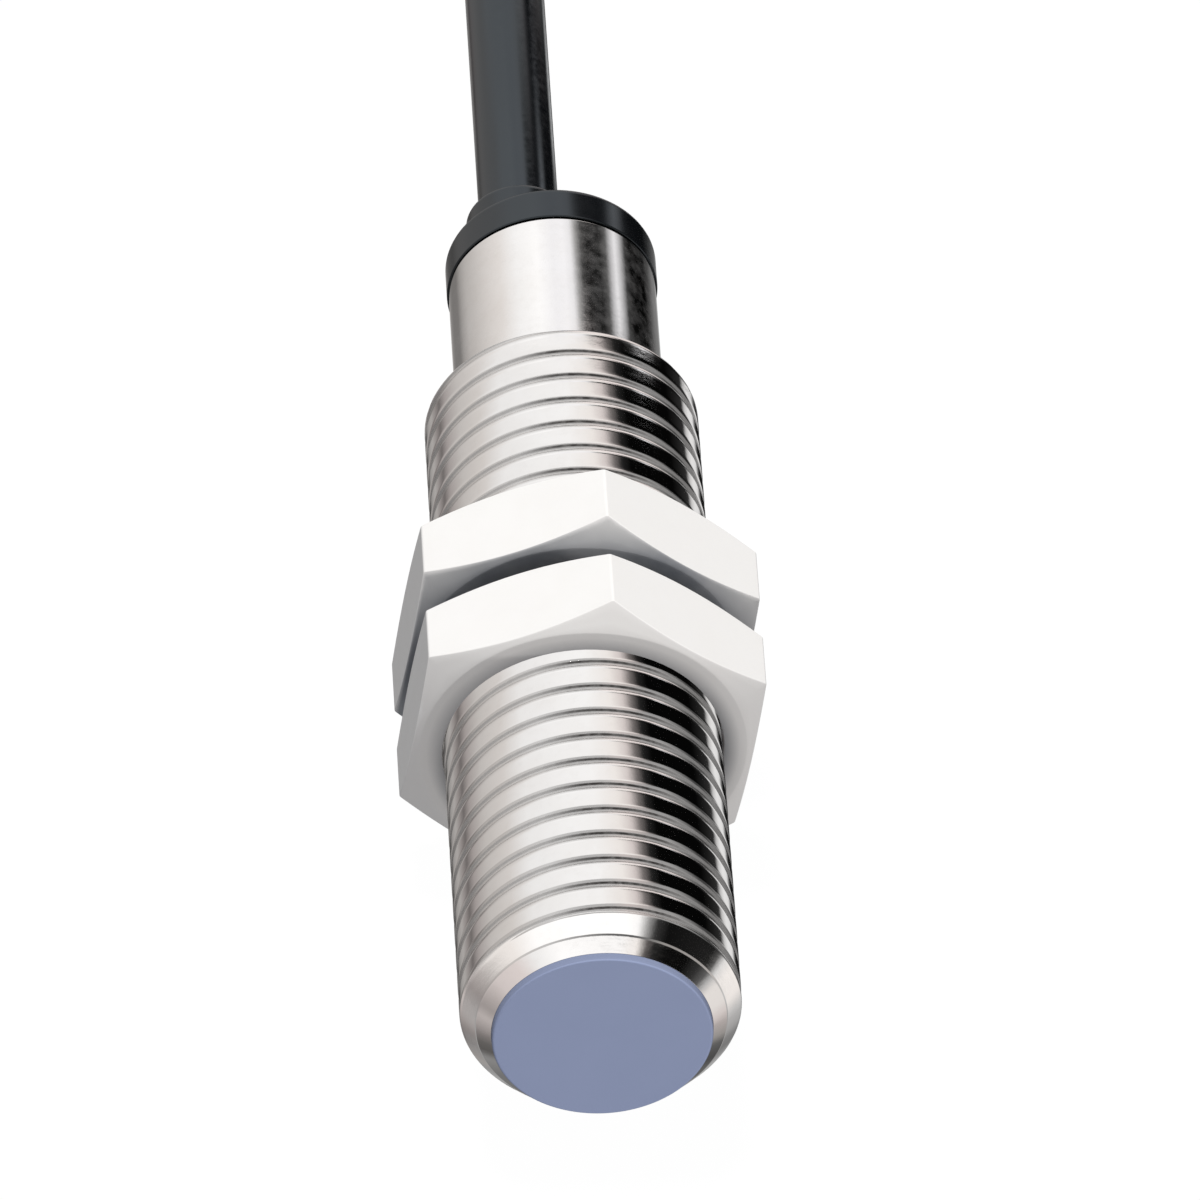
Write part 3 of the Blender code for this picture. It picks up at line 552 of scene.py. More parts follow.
def board_look():
    """Green solder resist with copper tracks and tinned vias, and woven laminate at the edges."""
    look = Look("board_laminate")
    z = look.split(look.coords())[2]
    weave = look.node("ShaderNodeTexBrick")
    for key, value in {"Vector": look.coords(), "Scale": 3.2, "Color1": (0.35, 0.35, 0.35),
                       "Color2": (0.65, 0.65, 0.65), "Mortar": (0.0, 0.0, 0.0),
                       "Mortar Size": 0.03}.items():
        look.feed(weave.inputs[key], value)
    weave = weave.outputs["Fac"]
    tracks = look.cells(scale=0.42, stretch=(1400.0, 700.0, 0.0), feature="DISTANCE_TO_EDGE",
                        randomness=0.35)
    track = look.span(tracks, over=(0.075, 0.055))
    vias = look.span(look.cells(scale=0.9, stretch=(1000.0, 1000.0, 0.0)), over=(0.13, 0.10))
    tone = look.noise(scale=1.1, detail=4.0, rough=0.6)
    resist = look.mix(look.span(tone, over=(0.35, 0.7)),
                      (0.010, 0.105, 0.040), (0.016, 0.145, 0.055))
    resist = look.mix(look.times(track, 0.6), resist, (0.045, 0.26, 0.10))
    resist = look.mix(vias, resist, (0.70, 0.68, 0.62))
    side = look.span(look.calc("ABSOLUTE", z), over=(0.392, 0.388))
    colour = look.mix(side, resist, look.mix(weave, (0.50, 0.47, 0.26), (0.38, 0.36, 0.18)))
    rough = look.blend(side, look.span(tone, over=(0.3, 0.7), to=(0.22, 0.34)), 0.7)
    height = look.plus(look.times(track, 0.6), look.times(weave, 0.15))
    return look.finish(colour, rough, look.times(vias, look.calc("SUBTRACT", 1.0, side)),
                       look.bump(height, distance=2e-5))


def component_look(node, kind, axis, share, body, shade, roughness=0.5, mark=None):
    """A small component: its body, and tinned ends beyond a share of its box along an axis.

    A mark colour paints one stripe across the body.
    """
    lo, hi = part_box(node)
    look = Look(kind + "_" + node)
    place = look.split(look.coords())[axis]
    middle = (lo[axis] + hi[axis]) / 2 / MM
    half = (hi[axis] - lo[axis]) / 2 / MM
    off = look.calc("ABSOLUTE", look.calc("SUBTRACT", place, middle))
    metal = look.span(off, over=(half * share - 0.01, half * share + 0.01))
    tone = look.noise(scale=1.8, detail=4.0, rough=0.6)
    fine = look.noise(scale=22.0, rough=0.6)
    skin = look.mix(look.span(tone, over=(0.35, 0.7)), body, shade)
    if mark is not None:
        edges = ((-half * 0.5, -half * 0.48), (-half * 0.26, -half * 0.28))
        stripe = look.times(*[look.span(look.calc("SUBTRACT", place, middle), over=edge)
                              for edge in edges])
        skin = look.mix(look.times(stripe, 0.8), skin, mark)
    solder = look.mix(look.span(fine, over=(0.3, 0.7)), (0.72, 0.71, 0.69), (0.62, 0.61, 0.60))
    rough = look.blend(
        metal, look.span(fine, over=(0.3, 0.7), to=(roughness - 0.08, roughness + 0.08)),
        look.span(tone, over=(0.3, 0.7), to=(0.22, 0.34)))
    return look.finish(look.mix(metal, skin, solder), rough, metal,
                       look.bump(fine, distance=4e-6))


NUT_GAP_Y = (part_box("front_nut")[1].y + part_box("rear_nut")[0].y) / 2 / MM
NICKEL = nickel_look()
# The blue face, with painted shade on the wall behind it.
FACE_BLUE = plastic_look(
    "face_blue", (0.390, 0.458, 0.680), (0.400, 0.468, 0.692), roughness=0.62, grain=34.0,
    depth=1.2e-6, cloud=0.35, ior=1.45, painted_wall_shade=(0.222, 0.258, 0.382))
# The white nuts, with painted shade in the gap between them and next to the barrel.
NUT_WHITE = plastic_look(
    "nut_white", (0.835, 0.822, 0.805), (0.820, 0.804, 0.785), roughness=0.42, grain=20.0,
    depth=1.6e-6, wear=(0.93, 0.925, 0.915), cloud=0.5, ior=1.45,
    painted_gap_shade=(NUT_GAP_Y, 1.32, (0.205, 0.222, 0.252)))
CAP_BLACK = plastic_look(
    "cap_black", (0.0030, 0.0034, 0.0042), (0.0044, 0.0050, 0.0060), roughness=0.13, grain=24.0,
    depth=4e-7, wear=(0.012, 0.014, 0.017), cloud=0.7, ior=1.62, sheen_spread=0.04,
    Specular_Tint=(0.80, 0.91, 1.0, 1.0))
CABLE_PVC = cable_look(
    "cable_pvc", (0.0028, 0.0032, 0.0040), (0.0040, 0.0045, 0.0055), roughness=0.12, ior=1.65,
    lines=4e-7, Specular_Tint=(0.78, 0.90, 1.0, 1.0))
RUBBER = plastic_look("seal_rubber", (0.012, 0.012, 0.012), (0.020, 0.020, 0.019),
                      roughness=0.62, grain=18.0, depth=3e-6, wear=(0.05, 0.05, 0.05))
FERRITE = plastic_look("ferrite", (0.040, 0.039, 0.038), (0.065, 0.062, 0.060),
                       roughness=0.58, grain=14.0, depth=6e-6, wear=(0.16, 0.155, 0.15), cloud=1.5)
NYLON = plastic_look(
    "natural_nylon", (0.74, 0.70, 0.60), (0.69, 0.64, 0.52), roughness=0.42, grain=16.0,
    depth=2e-6, wear=(0.82, 0.79, 0.72), cloud=0.9, Subsurface_Weight=0.15,
    Subsurface_Scale=0.0005)
RESIN = plastic_look("potting_resin", (0.050, 0.050, 0.056), (0.085, 0.085, 0.094),
                     roughness=0.22, grain=5.0, depth=6e-6, cloud=0.8, Coat_Weight=0.4)
FILM = plastic_look("insulating_film", (0.60, 0.36, 0.08), (0.70, 0.45, 0.13),
                    roughness=0.26, grain=6.0, depth=2e-6, cloud=0.4, Coat_Weight=0.5)
ENAMEL = winding_look()
LEAD_ENAMEL = metal_look("lead_enamel", (0.50, 0.17, 0.07), (0.40, 0.12, 0.05),
                         roughness=0.28, scale=12.0)
BOARD = board_look()
COPPER = metal_look("bare_copper", (0.88, 0.42, 0.25), (0.72, 0.30, 0.16), roughness=0.24,
                    scale=9.0, depth=1.5e-6, stretch=(1000.0, 120.0, 1000.0))
CLEAR_PLASTIC = dict(grain=9.0, depth=8e-7, cloud=0.8)
LED_RED = plastic_look("led_red", (0.62, 0.03, 0.02), (0.55, 0.02, 0.015), roughness=0.12,
                       Transmission_Weight=0.55, **CLEAR_PLASTIC)
LENS = plastic_look("lens_amber", (0.95, 0.52, 0.14), (0.90, 0.44, 0.10), roughness=0.10,
                    Transmission_Weight=0.75, **CLEAR_PLASTIC)
WIRE = {
    colour: cable_look("wire_" + colour, base, shade, roughness=0.36)
    for colour, base, shade in (
        ("brown", (0.105, 0.034, 0.014), (0.125, 0.042, 0.018)),
        ("black", (0.010, 0.010, 0.011), (0.016, 0.016, 0.017)),
        ("blue", (0.010, 0.070, 0.330), (0.014, 0.085, 0.380)))
}

# ------------------------------------------------------------------ threaded barrel
BARREL_STEPS = 128
BARREL_ANGLES = np.arange(BARREL_STEPS) * 2 * math.pi / BARREL_STEPS
CONE_SLOPE = (THREAD_R - RIM_R) / (SHOULDER_Y - RIM_Y)
FOOT_Y = RIM_Y + 0.15 * MM  # the rows of the helix start here, behind the edge of the cone
FOOT_R = RIM_R + 0.15 * MM * CONE_SLOPE
END_DROP = 0.035 * MM  # how far the 45 degree chamfer lowers the thread at its end
CREST_BLEND, END_BLEND, CONE_BLEND = 0.02 * MM, 0.01 * MM, 0.07 * MM
# Distances in millimetres from a groove's middle at which the mesh has rows.
ROWS_NEAR_GROOVE = [0.0, 0.03, 0.06, 0.095, 0.13, 0.17, 0.21, 0.25, 0.29, 0.33, 0.37, 0.415,
                    0.50, 0.63]


def smooth_min(a, b, width):
    share = np.clip(0.5 + 0.5 * (b - a) / width, 0.0, 1.0)
    return b * (1 - share) + a * share - width * share * (1 - share)


def from_groove_middle(y, angles):
    """The distance along the axis from the nearest groove of the right-handed helix."""
    station = SHOULDER_Y + PITCH * angles / (2 * math.pi)
    return (y - station + PITCH / 2) % PITCH - PITCH / 2


def outer_radius(y, off):
    """The outside from the front cone to the thread's end, at off from a groove's middle."""
    cone = RIM_R + (y - RIM_Y) * CONE_SLOPE
    end = THREAD_R - END_DROP + (THREAD_END_Y - y)
    groove = THREAD_R - GROOVE_DEPTH * np.clip(1 - np.abs(off) / GROOVE_HALF, 0, None) ** 2
    thread = smooth_min(np.full_like(y, THREAD_R), groove, CREST_BLEND)
    return smooth_min(cone, smooth_min(thread, end, END_BLEND), CONE_BLEND)


def thread_mesh():
    """Rows that follow the helix, held between the front cone's foot and the thread's end."""
    columns = BARREL_STEPS
    offsets = sorted([-n * MM for n in ROWS_NEAR_GROOVE[1:]] + [n * MM for n in ROWS_NEAR_GROOVE])
    per_turn = len(offsets)
    turns = range(-3, int((THREAD_END_Y - SHOULDER_Y) / PITCH) + 3)
    stations = np.array([SHOULDER_Y + turn * PITCH + off for turn in turns for off in offsets])
    rows = len(stations)
    held = np.clip(stations[:, None] + PITCH * BARREL_ANGLES[None, :] / (2 * math.pi),
                   FOOT_Y, THREAD_END_Y)
    radius = outer_radius(held, from_groove_middle(held, BARREL_ANGLES[None, :]))
    radius[held <= FOOT_Y + 1e-9] = FOOT_R
    verts = [around(BARREL_ANGLES[k], radius[i, k], held[i, k])
             for i in range(rows) for k in range(columns)]
    faces = []
    for i in range(rows - 1):
        for k in range(columns):
            quad = [(i, k), (i + 1, k), (i + 1, k + 1), (i, k + 1)]
            if k + 1 == columns:
                # The seam joins each row to the one a full turn further on.
                if i + per_turn >= rows:
                    continue
                quad[2:] = [(min(i + 1 + per_turn, rows - 1), 0), (i + per_turn, 0)]
            if len({round(float(held[row, column]), 9) for row, column in quad}) > 1:
                faces.append(tuple(row * columns + column for row, column in quad))
    return verts, faces


def end_ring_mesh():
    """The step from the thread's end down to the tail."""
    radii = outer_radius(np.full(BARREL_STEPS, THREAD_END_Y),
                         from_groove_middle(THREAD_END_Y, BARREL_ANGLES))
    verts = [around(angle, radius, THREAD_END_Y) for angle, radius in zip(BARREL_ANGLES, radii)]
    verts += [around(angle, TAIL_R, THREAD_END_Y) for angle in BARREL_ANGLES]
    return verts, ring_faces(2, BARREL_STEPS)


# Corners as (radius, y, rounding), here and in the outlines below.
BORE_AND_MOUTH = [
    (BORE_R, TAIL_END_Y, 0), (BORE_R, MOUTH_DEPTH_Y, 0.05 * MM),
    (MOUTH_R, MOUTH_DEPTH_Y, 0.05 * MM), (MOUTH_R, MOUTH_Y, 0.012 * MM),
    (RIM_R, RIM_Y, 0.60 * MM), (FOOT_R, FOOT_Y, 0),
]
TAIL = [(TAIL_R, THREAD_END_Y, 0), (TAIL_R, TAIL_END_Y, 0.06 * MM), (BORE_R, TAIL_END_Y, 0)]
verts, faces = joined(thread_mesh(), lathe_mesh(rounded(BORE_AND_MOUTH), BARREL_STEPS),
                      end_ring_mesh(), lathe_mesh(rounded(TAIL), BARREL_STEPS))
add_piece("barrel_shell", verts, faces, NICKEL, stands_for="threaded_barrel",
          slot="nickel_plated_brass", sharp=38.0, weld=4e-7)

# ------------------------------------------------------------------ sensing face
face_lo, face_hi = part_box("sensing_face_cap")
FACE_R = MOUTH_R + 0.002 * MM
FACE_OUTLINE = [
    (0.0, face_lo.y, 0), (FACE_R, face_lo.y, 0.11 * MM), (FACE_R, 1.43 * MM, 0.04 * MM),
    (SKIRT_R, 1.43 * MM, 0.04 * MM), (SKIRT_R, 3.14 * MM, 0.03 * MM),
    (SKIRT_GROOVE_R, 3.14 * MM, 0.03 * MM), (SKIRT_GROOVE_R, 3.86 * MM, 0.03 * MM),
    (SKIRT_R, 3.86 * MM, 0.03 * MM), (SKIRT_R, face_hi.y, 0.05 * MM),
    (3.45 * MM, face_hi.y, 0.05 * MM), (3.45 * MM, 1.0 * MM, 0.12 * MM), (0.0, 1.0 * MM, 0),
]
lathe("sensing_face", rounded(FACE_OUTLINE, 5), FACE_BLUE, stands_for="sensing_face_cap",
      slot="face_blue_plastic", weighted=True)

# ------------------------------------------------------------------ mounting nuts
NUT_CORNER_R = 8.471 * MM
NUT_CORNER_ROUND = 0.15 * MM
NUT_FACE_R = 7.05 * MM  # the end face is flat out to here, then falls away as a cone
NUT_CONE = math.radians(24.3)
NUT_SLOPE = math.tan(NUT_CONE)
NUT_TURN = math.radians(9.0)
NUT_BORE_R, NUT_MOUTH_R = THREAD_R + 0.035 * MM, THREAD_R + 0.10 * MM
NUT_EDGE = 0.07 * MM  # rounding between the cone and the flats
NUT_THREAD_INSET = 0.10 * MM
NUT_THREAD_DEPTH, NUT_THREAD_FADE = 0.20 * MM, 0.35 * MM
FLAT_COLUMNS, CORNER_COLUMNS = 14, 5
NUT_THREAD_ROWS, NUT_EDGE_STEPS = 56, 4


def nut_outline():
    """Points round the hexagon with rounded corners, as (angle, radius)."""
    apothem = NUT_CORNER_R * math.cos(math.pi / 6)
    centre_r = (apothem - NUT_CORNER_ROUND) / math.cos(math.pi / 6)
    points = []
    for side in range(6):
        corner = NUT_TURN + side * math.pi / 3
        x, _, z = around(corner, centre_r)
        next_x, _, next_z = around(NUT_TURN + (side + 1) * math.pi / 3, centre_r)
        for k in range(CORNER_COLUMNS + 1):
            angle = corner - math.pi / 6 + math.pi / 3 * k / CORNER_COLUMNS
            points.append(around(angle, NUT_CORNER_ROUND, 0.0, x, z))
        flat = corner + math.pi / 6
        start = np.array(around(flat, NUT_CORNER_ROUND, 0.0, x, z))
        end = np.array(around(flat, NUT_CORNER_ROUND, 0.0, next_x, next_z))
        points += [start + (end - start) * (k / FLAT_COLUMNS) for k in range(1, FLAT_COLUMNS)]
    return [(math.atan2(x, z), math.hypot(x, z)) for x, _, z in points]


def nut_thread_rings(columns, half):
    """Rings of (angle, radius, y) up the bore, with a thread that fades out at both ends."""
    rings = []
    reach = half - NUT_THREAD_INSET
    for j in range(NUT_THREAD_ROWS + 1):
        y = -half + NUT_THREAD_INSET + (2 * half - 2 * NUT_THREAD_INSET) * j / NUT_THREAD_ROWS
        fade = max(0.0, min(1.0, (reach - abs(y)) / NUT_THREAD_FADE))
        ring = []
        for angle, _ in columns:
            phase = ((y - PITCH * angle / (2 * math.pi)) / PITCH) % 1.0
            tooth = max(0.0, 1.0 - abs(phase - 0.5) * 5.0)
            ring.append((angle, NUT_BORE_R + NUT_THREAD_DEPTH * tooth * fade, y))
        rings.append(ring)
    return rings


def nut_end_rings(columns, half):
    """Rings of (angle, radius, y) from the bore out over the +Y face and down to the flats."""
    face = [  # (radius, y)
        (NUT_BORE_R + 0.012 * MM, half - 0.055 * MM), (NUT_MOUTH_R - 0.025 * MM, half - 0.008 * MM),
        (NUT_MOUTH_R, half), ((NUT_MOUTH_R + NUT_FACE_R) / 2, half),
        (NUT_FACE_R - 0.03 * MM, half), (NUT_FACE_R + 0.03 * MM, half - 0.03 * MM * NUT_SLOPE),
    ]
    rings = [[(angle, radius, y) for angle, _ in columns] for radius, y in face]
    for share in (0.33, 0.66):
        rings.append([(angle, NUT_FACE_R + (r - NUT_FACE_R) * share,
                       half - (r - NUT_FACE_R) * share * NUT_SLOPE) for angle, r in columns])
    turn = math.pi / 2 - NUT_CONE
    reach = NUT_EDGE * math.tan(turn / 2)
    for k in range(NUT_EDGE_STEPS + 1):
        # an arc from the cone's direction down to the flat
        lean = NUT_CONE + turn * k / NUT_EDGE_STEPS
        ring = []
        for angle, r in columns:
            centre_y = half - (r - NUT_FACE_R) * NUT_SLOPE - reach
            ring.append((angle, r - NUT_EDGE + NUT_EDGE * math.sin(lean),
                         centre_y + NUT_EDGE * math.cos(lean)))
        rings.append(ring)
    return rings


def nut_mesh(middle, half):
    columns = nut_outline()
    top = nut_end_rings(columns, half)
    bottom = [[(angle, r, -y) for angle, r, y in ring] for ring in reversed(top)]
    rings = nut_thread_rings(columns, half) + top + bottom
    verts = [around(angle, r, middle + y) for ring in rings for angle, r, y in ring]
    return verts, ring_faces(len(rings), len(columns), closed=True)


for nut_name in ("front_nut", "rear_nut"):
    lo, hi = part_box(nut_name)
    verts, faces = nut_mesh((lo.y + hi.y) / 2, (hi.y - lo.y) / 2)
    nut = add_piece(nut_name + "_shell", verts, faces, NUT_WHITE,
                    body=frame["nodes"][nut_name]["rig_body"], stands_for=nut_name,
                    slot="nut_white", sharp=34.0, weighted=True)
    nut.visible_glossy = False

# ------------------------------------------------------------------ rear cap, grommet, cable
jacket_lo, jacket_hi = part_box("cable_jacket")
CABLE_X, CABLE_Z = (jacket_lo.x + jacket_hi.x) / 2, (jacket_lo.z + jacket_hi.z) / 2
CABLE_R = (jacket_hi.x - jacket_lo.x) / 2
JACKET_BORE_R = 1.28 * MM
lens_lo, lens_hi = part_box("led_lens")
LED_X, LED_Z = (lens_lo.x + lens_hi.x) / 2, (lens_lo.z + lens_hi.z) / 2
CAP_R, CAP_Y0, CAP_Y1 = 4.649 * MM, 45.84 * MM, 47.64 * MM
CAP_BORE_R = 3.36 * MM
BOSS_R, BOSS_Y0, BOSS_Y1 = 2.364 * MM, CAP_Y1 - 0.8 * MM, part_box("rear_cap")[1].y
CABLE_HOLE_R, GROMMET_HOLE_R, LENS_HOLE_R = 1.85 * MM, 2.11 * MM, 0.98 * MM
CUT_END_Y = 50 * MM  # the cutting tools reach past the boss to here


def tool(name, outline, steps, x=0.0, z=0.0):
    """A plain turned solid to build with, or to cut with."""
    mesh = bpy.data.meshes.new(name)
    verts, faces = lathe_mesh(outline, steps, x, z)
    mesh.from_pydata(verts, [], faces)
    with editing(mesh) as edit:
        bmesh.ops.remove_doubles(edit, verts=edit.verts, dist=1e-7)
        bmesh.ops.recalc_face_normals(edit, faces=edit.faces)
    obj = bpy.data.objects.new(name, mesh)
    LOOKS.objects.link(obj)
    return obj


def carve(base, *steps):
    """Applies a run of (operation, tool) Booleans to a mesh object and removes the tools."""
    for operation, other in steps:
        made = base.modifiers.new("carve", "BOOLEAN")
        made.operation = operation
        made.solver = "EXACT"
        made.object = other
    bpy.context.view_layer.update()
    graph = bpy.context.evaluated_depsgraph_get()
    mesh = bpy.data.meshes.new_from_object(base.evaluated_get(graph))
    base.modifiers.clear()
    base.data = mesh
    for _, other in steps:
        bpy.data.objects.remove(other, do_unlink=True)


CAP_OUTLINE = [
    (0.0, CAP_Y1, 0), (CAP_R, CAP_Y1, 0.24 * MM), (CAP_R, CAP_Y0, 0.05 * MM),
    (SKIRT_R, CAP_Y0, 0.04 * MM), (SKIRT_R, 42.46 * MM, 0), (SKIRT_GROOVE_R, 42.46 * MM, 0),
    (SKIRT_GROOVE_R, 41.74 * MM, 0), (SKIRT_R, 41.74 * MM, 0), (SKIRT_R, 41.0 * MM, 0.05 * MM),
    (CAP_BORE_R, 41.0 * MM, 0.05 * MM), (CAP_BORE_R, 44.4 * MM, 0.1 * MM), (0.0, 44.4 * MM, 0),
]
BOSS_OUTLINE = [(0.0, BOSS_Y1, 0), (BOSS_R, BOSS_Y1, 0.24 * MM), (BOSS_R, BOSS_Y0, 0),
                (0.0, BOSS_Y0, 0)]
# The holes, as (radius, y)
CABLE_HOLE = [(0.0, CUT_END_Y), (CABLE_HOLE_R, CUT_END_Y), (CABLE_HOLE_R, 40 * MM), (0.0, 40 * MM)]
GROMMET_HOLE = [(0.0, CUT_END_Y), (2.30 * MM, CUT_END_Y), (GROMMET_HOLE_R, BOSS_Y1 - 0.06 * MM),
                (GROMMET_HOLE_R, 46.20 * MM), (0.0, 46.20 * MM)]
LENS_HOLE = [(0.0, CUT_END_Y), (1.10 * MM, CUT_END_Y), (1.10 * MM, CAP_Y1 + 0.02 * MM),
             (LENS_HOLE_R, CAP_Y1 - 0.10 * MM), (LENS_HOLE_R, 43 * MM), (0.0, 43 * MM)]

cap_body = tool("rear_cap_shell", rounded(CAP_OUTLINE, 6), 128)
boss_form = tool("boss_form", rounded(BOSS_OUTLINE, 6), 96, CABLE_X, CABLE_Z)
cable_hole = tool("cable_hole", CABLE_HOLE, 96, CABLE_X, CABLE_Z)
grommet_hole = tool("grommet_hole", GROMMET_HOLE, 96, CABLE_X, CABLE_Z)
lens_hole = tool("lens_hole", LENS_HOLE, 64, LED_X, LED_Z)
carve(cap_body, ("UNION", boss_form), ("DIFFERENCE", cable_hole), ("DIFFERENCE", grommet_hole),
      ("DIFFERENCE", lens_hole))
dress(cap_body, CAP_BLACK, stands_for="rear_cap", slot="cap_black", sharp=34.0, weighted=True)

GROMMET_OUTLINE = [
    (1.80 * MM, 48.38 * MM, 0.07 * MM), (2.04 * MM, 48.38 * MM, 0.07 * MM),
    (2.04 * MM, 46.28 * MM, 0.03 * MM), (1.80 * MM, 46.28 * MM, 0.03 * MM),
]
lathe("cable_grommet_ring", rounded(GROMMET_OUTLINE, closed=True), RUBBER, 96, CABLE_X, CABLE_Z,
      closed=True, stands_for="cable_grommet", slot="seal_rubber")

JACKET_OUTLINE = [
    (JACKET_BORE_R, jacket_hi.y, 0.05 * MM), (CABLE_R, jacket_hi.y, 0.10 * MM),
    (CABLE_R, jacket_lo.y, 0.05 * MM), (JACKET_BORE_R, jacket_lo.y, 0.05 * MM),
]
lathe("cable_skin", rounded(JACKET_OUTLINE, closed=True), CABLE_PVC, 96, CABLE_X, CABLE_Z,
      closed=True, stands_for="cable_jacket", slot="cable_pvc", weighted=True)

LENS_OUTLINE = [
    (0.0, lens_hi.y, 0), (0.62 * MM, lens_hi.y - 0.03 * MM, 0.3 * MM),
    (0.88 * MM, lens_hi.y - 0.16 * MM, 0.10 * MM), (0.88 * MM, lens_lo.y, 0.05 * MM),
    (0.0, lens_lo.y, 0),
]
lathe("led_window", rounded(LENS_OUTLINE, 5), LENS, 64, LED_X, LED_Z, stands_for="led_lens",
      slot="lens_amber", sharp=50.0)

# ------------------------------------------------------------------ cores
# Each core's angle in the cable, its x on the board and its x at the free end.
CORES = {
    "brown": (math.radians(210), -2.4 * MM, -4.2 * MM),
    "black": (math.radians(90), -0.9 * MM, 0.6 * MM),
    "blue": (math.radians(330), 1.0 * MM, 4.6 * MM),
}
CORE_R, CORE_END_R, CORE_BORE_R = 0.52 * MM, 0.495 * MM, 0.31 * MM
CORE_SIDES = 28
CORE_LAY_R = 0.68 * MM  # from the cable's axis to a core's
WIRE_Z = 0.40 * MM + 0.08 * MM + CORE_R  # the board's top, a gap, and the core's radius
BEND_Y, BEND_LENGTH = 36.0 * MM, 2.2 * MM
FAN_Y = jacket_hi.y - 0.5 * MM
FAN_DROP = 1.6 * MM
LEAD_OUT_Y = 97.0 * MM
STRAND_R, STRAND_LAY_R, STRAND_SIDES = 0.070 * MM, 0.142 * MM, 8
STRAND_TWIST = 5.2 * MM  # length of one full turn
SPLAY_Y, SPLAY_LENGTH = 98.6 * MM, 1.3 * MM


def core_point(colour, s):
    """A core's centre at station s: board, cable, then the fan of free ends."""
    angle, pad_x, fan_x = CORES[colour]
    x = CABLE_X + CORE_LAY_R * math.cos(angle)
    z = CABLE_Z + CORE_LAY_R * math.sin(angle)
    if s <= BEND_Y + BEND_LENGTH:
        t = max(0.0, (s - BEND_Y) / BEND_LENGTH)
        ease = t * t * (3 - 2 * t)
        return np.array((pad_x + (x - pad_x) * ease, s, WIRE_Z + (z - WIRE_Z) * ease))
    if s <= FAN_Y:
        return np.array((x, s, z))
    t = (s - FAN_Y) / (LEAD_OUT_Y - FAN_Y)
    ease = t * t * (2.0 - t)
    return np.array((x + (fan_x - x) * ease, s, z - FAN_DROP * t * t))


def core_stations(start, end, step):
    count = int(round((end - start) / step))
    return [start + (end - start) * i / count for i in range(count + 1)]


def add_core_skin(colour):
    """The insulation: an outer and an inner tube, joined by a ring of faces at each end."""
    path = [core_point(colour, s) for s in core_stations(34.9 * MM, LEAD_OUT_Y, 0.30 * MM)]
    radii = [CORE_R] * len(path)
    radii[0] = radii[-1] = CORE_END_R
    outer = sweep(path, radii, CORE_SIDES)
    inner = sweep(path, [CORE_BORE_R] * len(path), CORE_SIDES)
    count = len(outer[0])
    ends = []
    for k in range(CORE_SIDES):
        n = (k + 1) % CORE_SIDES
        for row in (0, count - CORE_SIDES):
            ends.append((row + k, row + n, count + row + n, count + row + k))
    verts, faces = joined(outer, inner)
    add_piece("core_skin_" + colour, verts, faces + ends, WIRE[colour],
              stands_for="wire_" + colour, slot="wire_" + colour, sharp=50.0)


def add_strands(colour):
    """Seven fine strands: one in the middle and six laid round it with a twist."""
    stations = core_stations(33.8 * MM, 99.9 * MM, 0.34 * MM)
    path, across, up = frames_along([core_point(colour, s) for s in stations])
    strands = []
    for strand in range(7):
        lay = 0.0 if strand == 0 else STRAND_LAY_R
        spread = 0.5 + 0.5 * math.sin(strand * 2.3)  # a different splay for each strand
        run = []
        for i, s in enumerate(stations):
            turn = 2 * math.pi * (s / STRAND_TWIST) + strand * math.pi / 3
            splay = 1.0 + 0.35 * max(0.0, (s - SPLAY_Y) / SPLAY_LENGTH) ** 2 * spread
            off = math.cos(turn) * across[i] + math.sin(turn) * up[i]
            run.append(path[i] + lay * splay * off)
        verts, faces = sweep(run, [STRAND_R] * len(run), STRAND_SIDES)
        count = len(verts)
        caps = [tuple(range(STRAND_SIDES)), tuple(range(count - STRAND_SIDES, count))]
        strands.append((verts, faces + caps))
    verts, faces = joined(*strands)
    add_piece("strands_" + colour, verts, faces, COPPER, stands_for="conductor_" + colour,
              slot="bare_copper", sharp=60.0, weld=1e-8)


for colour in CORES:
    add_core_skin(colour)
    add_strands(colour)

# ------------------------------------------------------------------ carried-over CAD nodes
CARRIED = {
    "front_seal_ring": (RUBBER, "seal_rubber"),
    "rear_seal_ring": (RUBBER, "seal_rubber"),
    "ferrite_core": (FERRITE, "ferrite"),
    "coil_bobbin": (NYLON, "natural_nylon"),
    "core_carrier": (NYLON, "natural_nylon"),
    "coil_winding": (ENAMEL, "enamelled_copper"),
    "coil_lead_a": (LEAD_ENAMEL, "enamelled_copper"),
    "coil_lead_b": (LEAD_ENAMEL, "enamelled_copper"),
    "front_potting": (RESIN, "potting_resin"),
    "rear_potting": (RESIN, "potting_resin"),
    "insulating_sleeve": (FILM, "insulating_film"),
    "circuit_board": (BOARD, "board_laminate"),
}
PACKAGE = dict(kind="chip", axis=0, body=(0.018, 0.018, 0.019), shade=(0.028, 0.028, 0.029))
RESISTOR = dict(kind="chip", axis=1, share=0.56, body=(0.020, 0.020, 0.022),
                shade=(0.032, 0.032, 0.034))
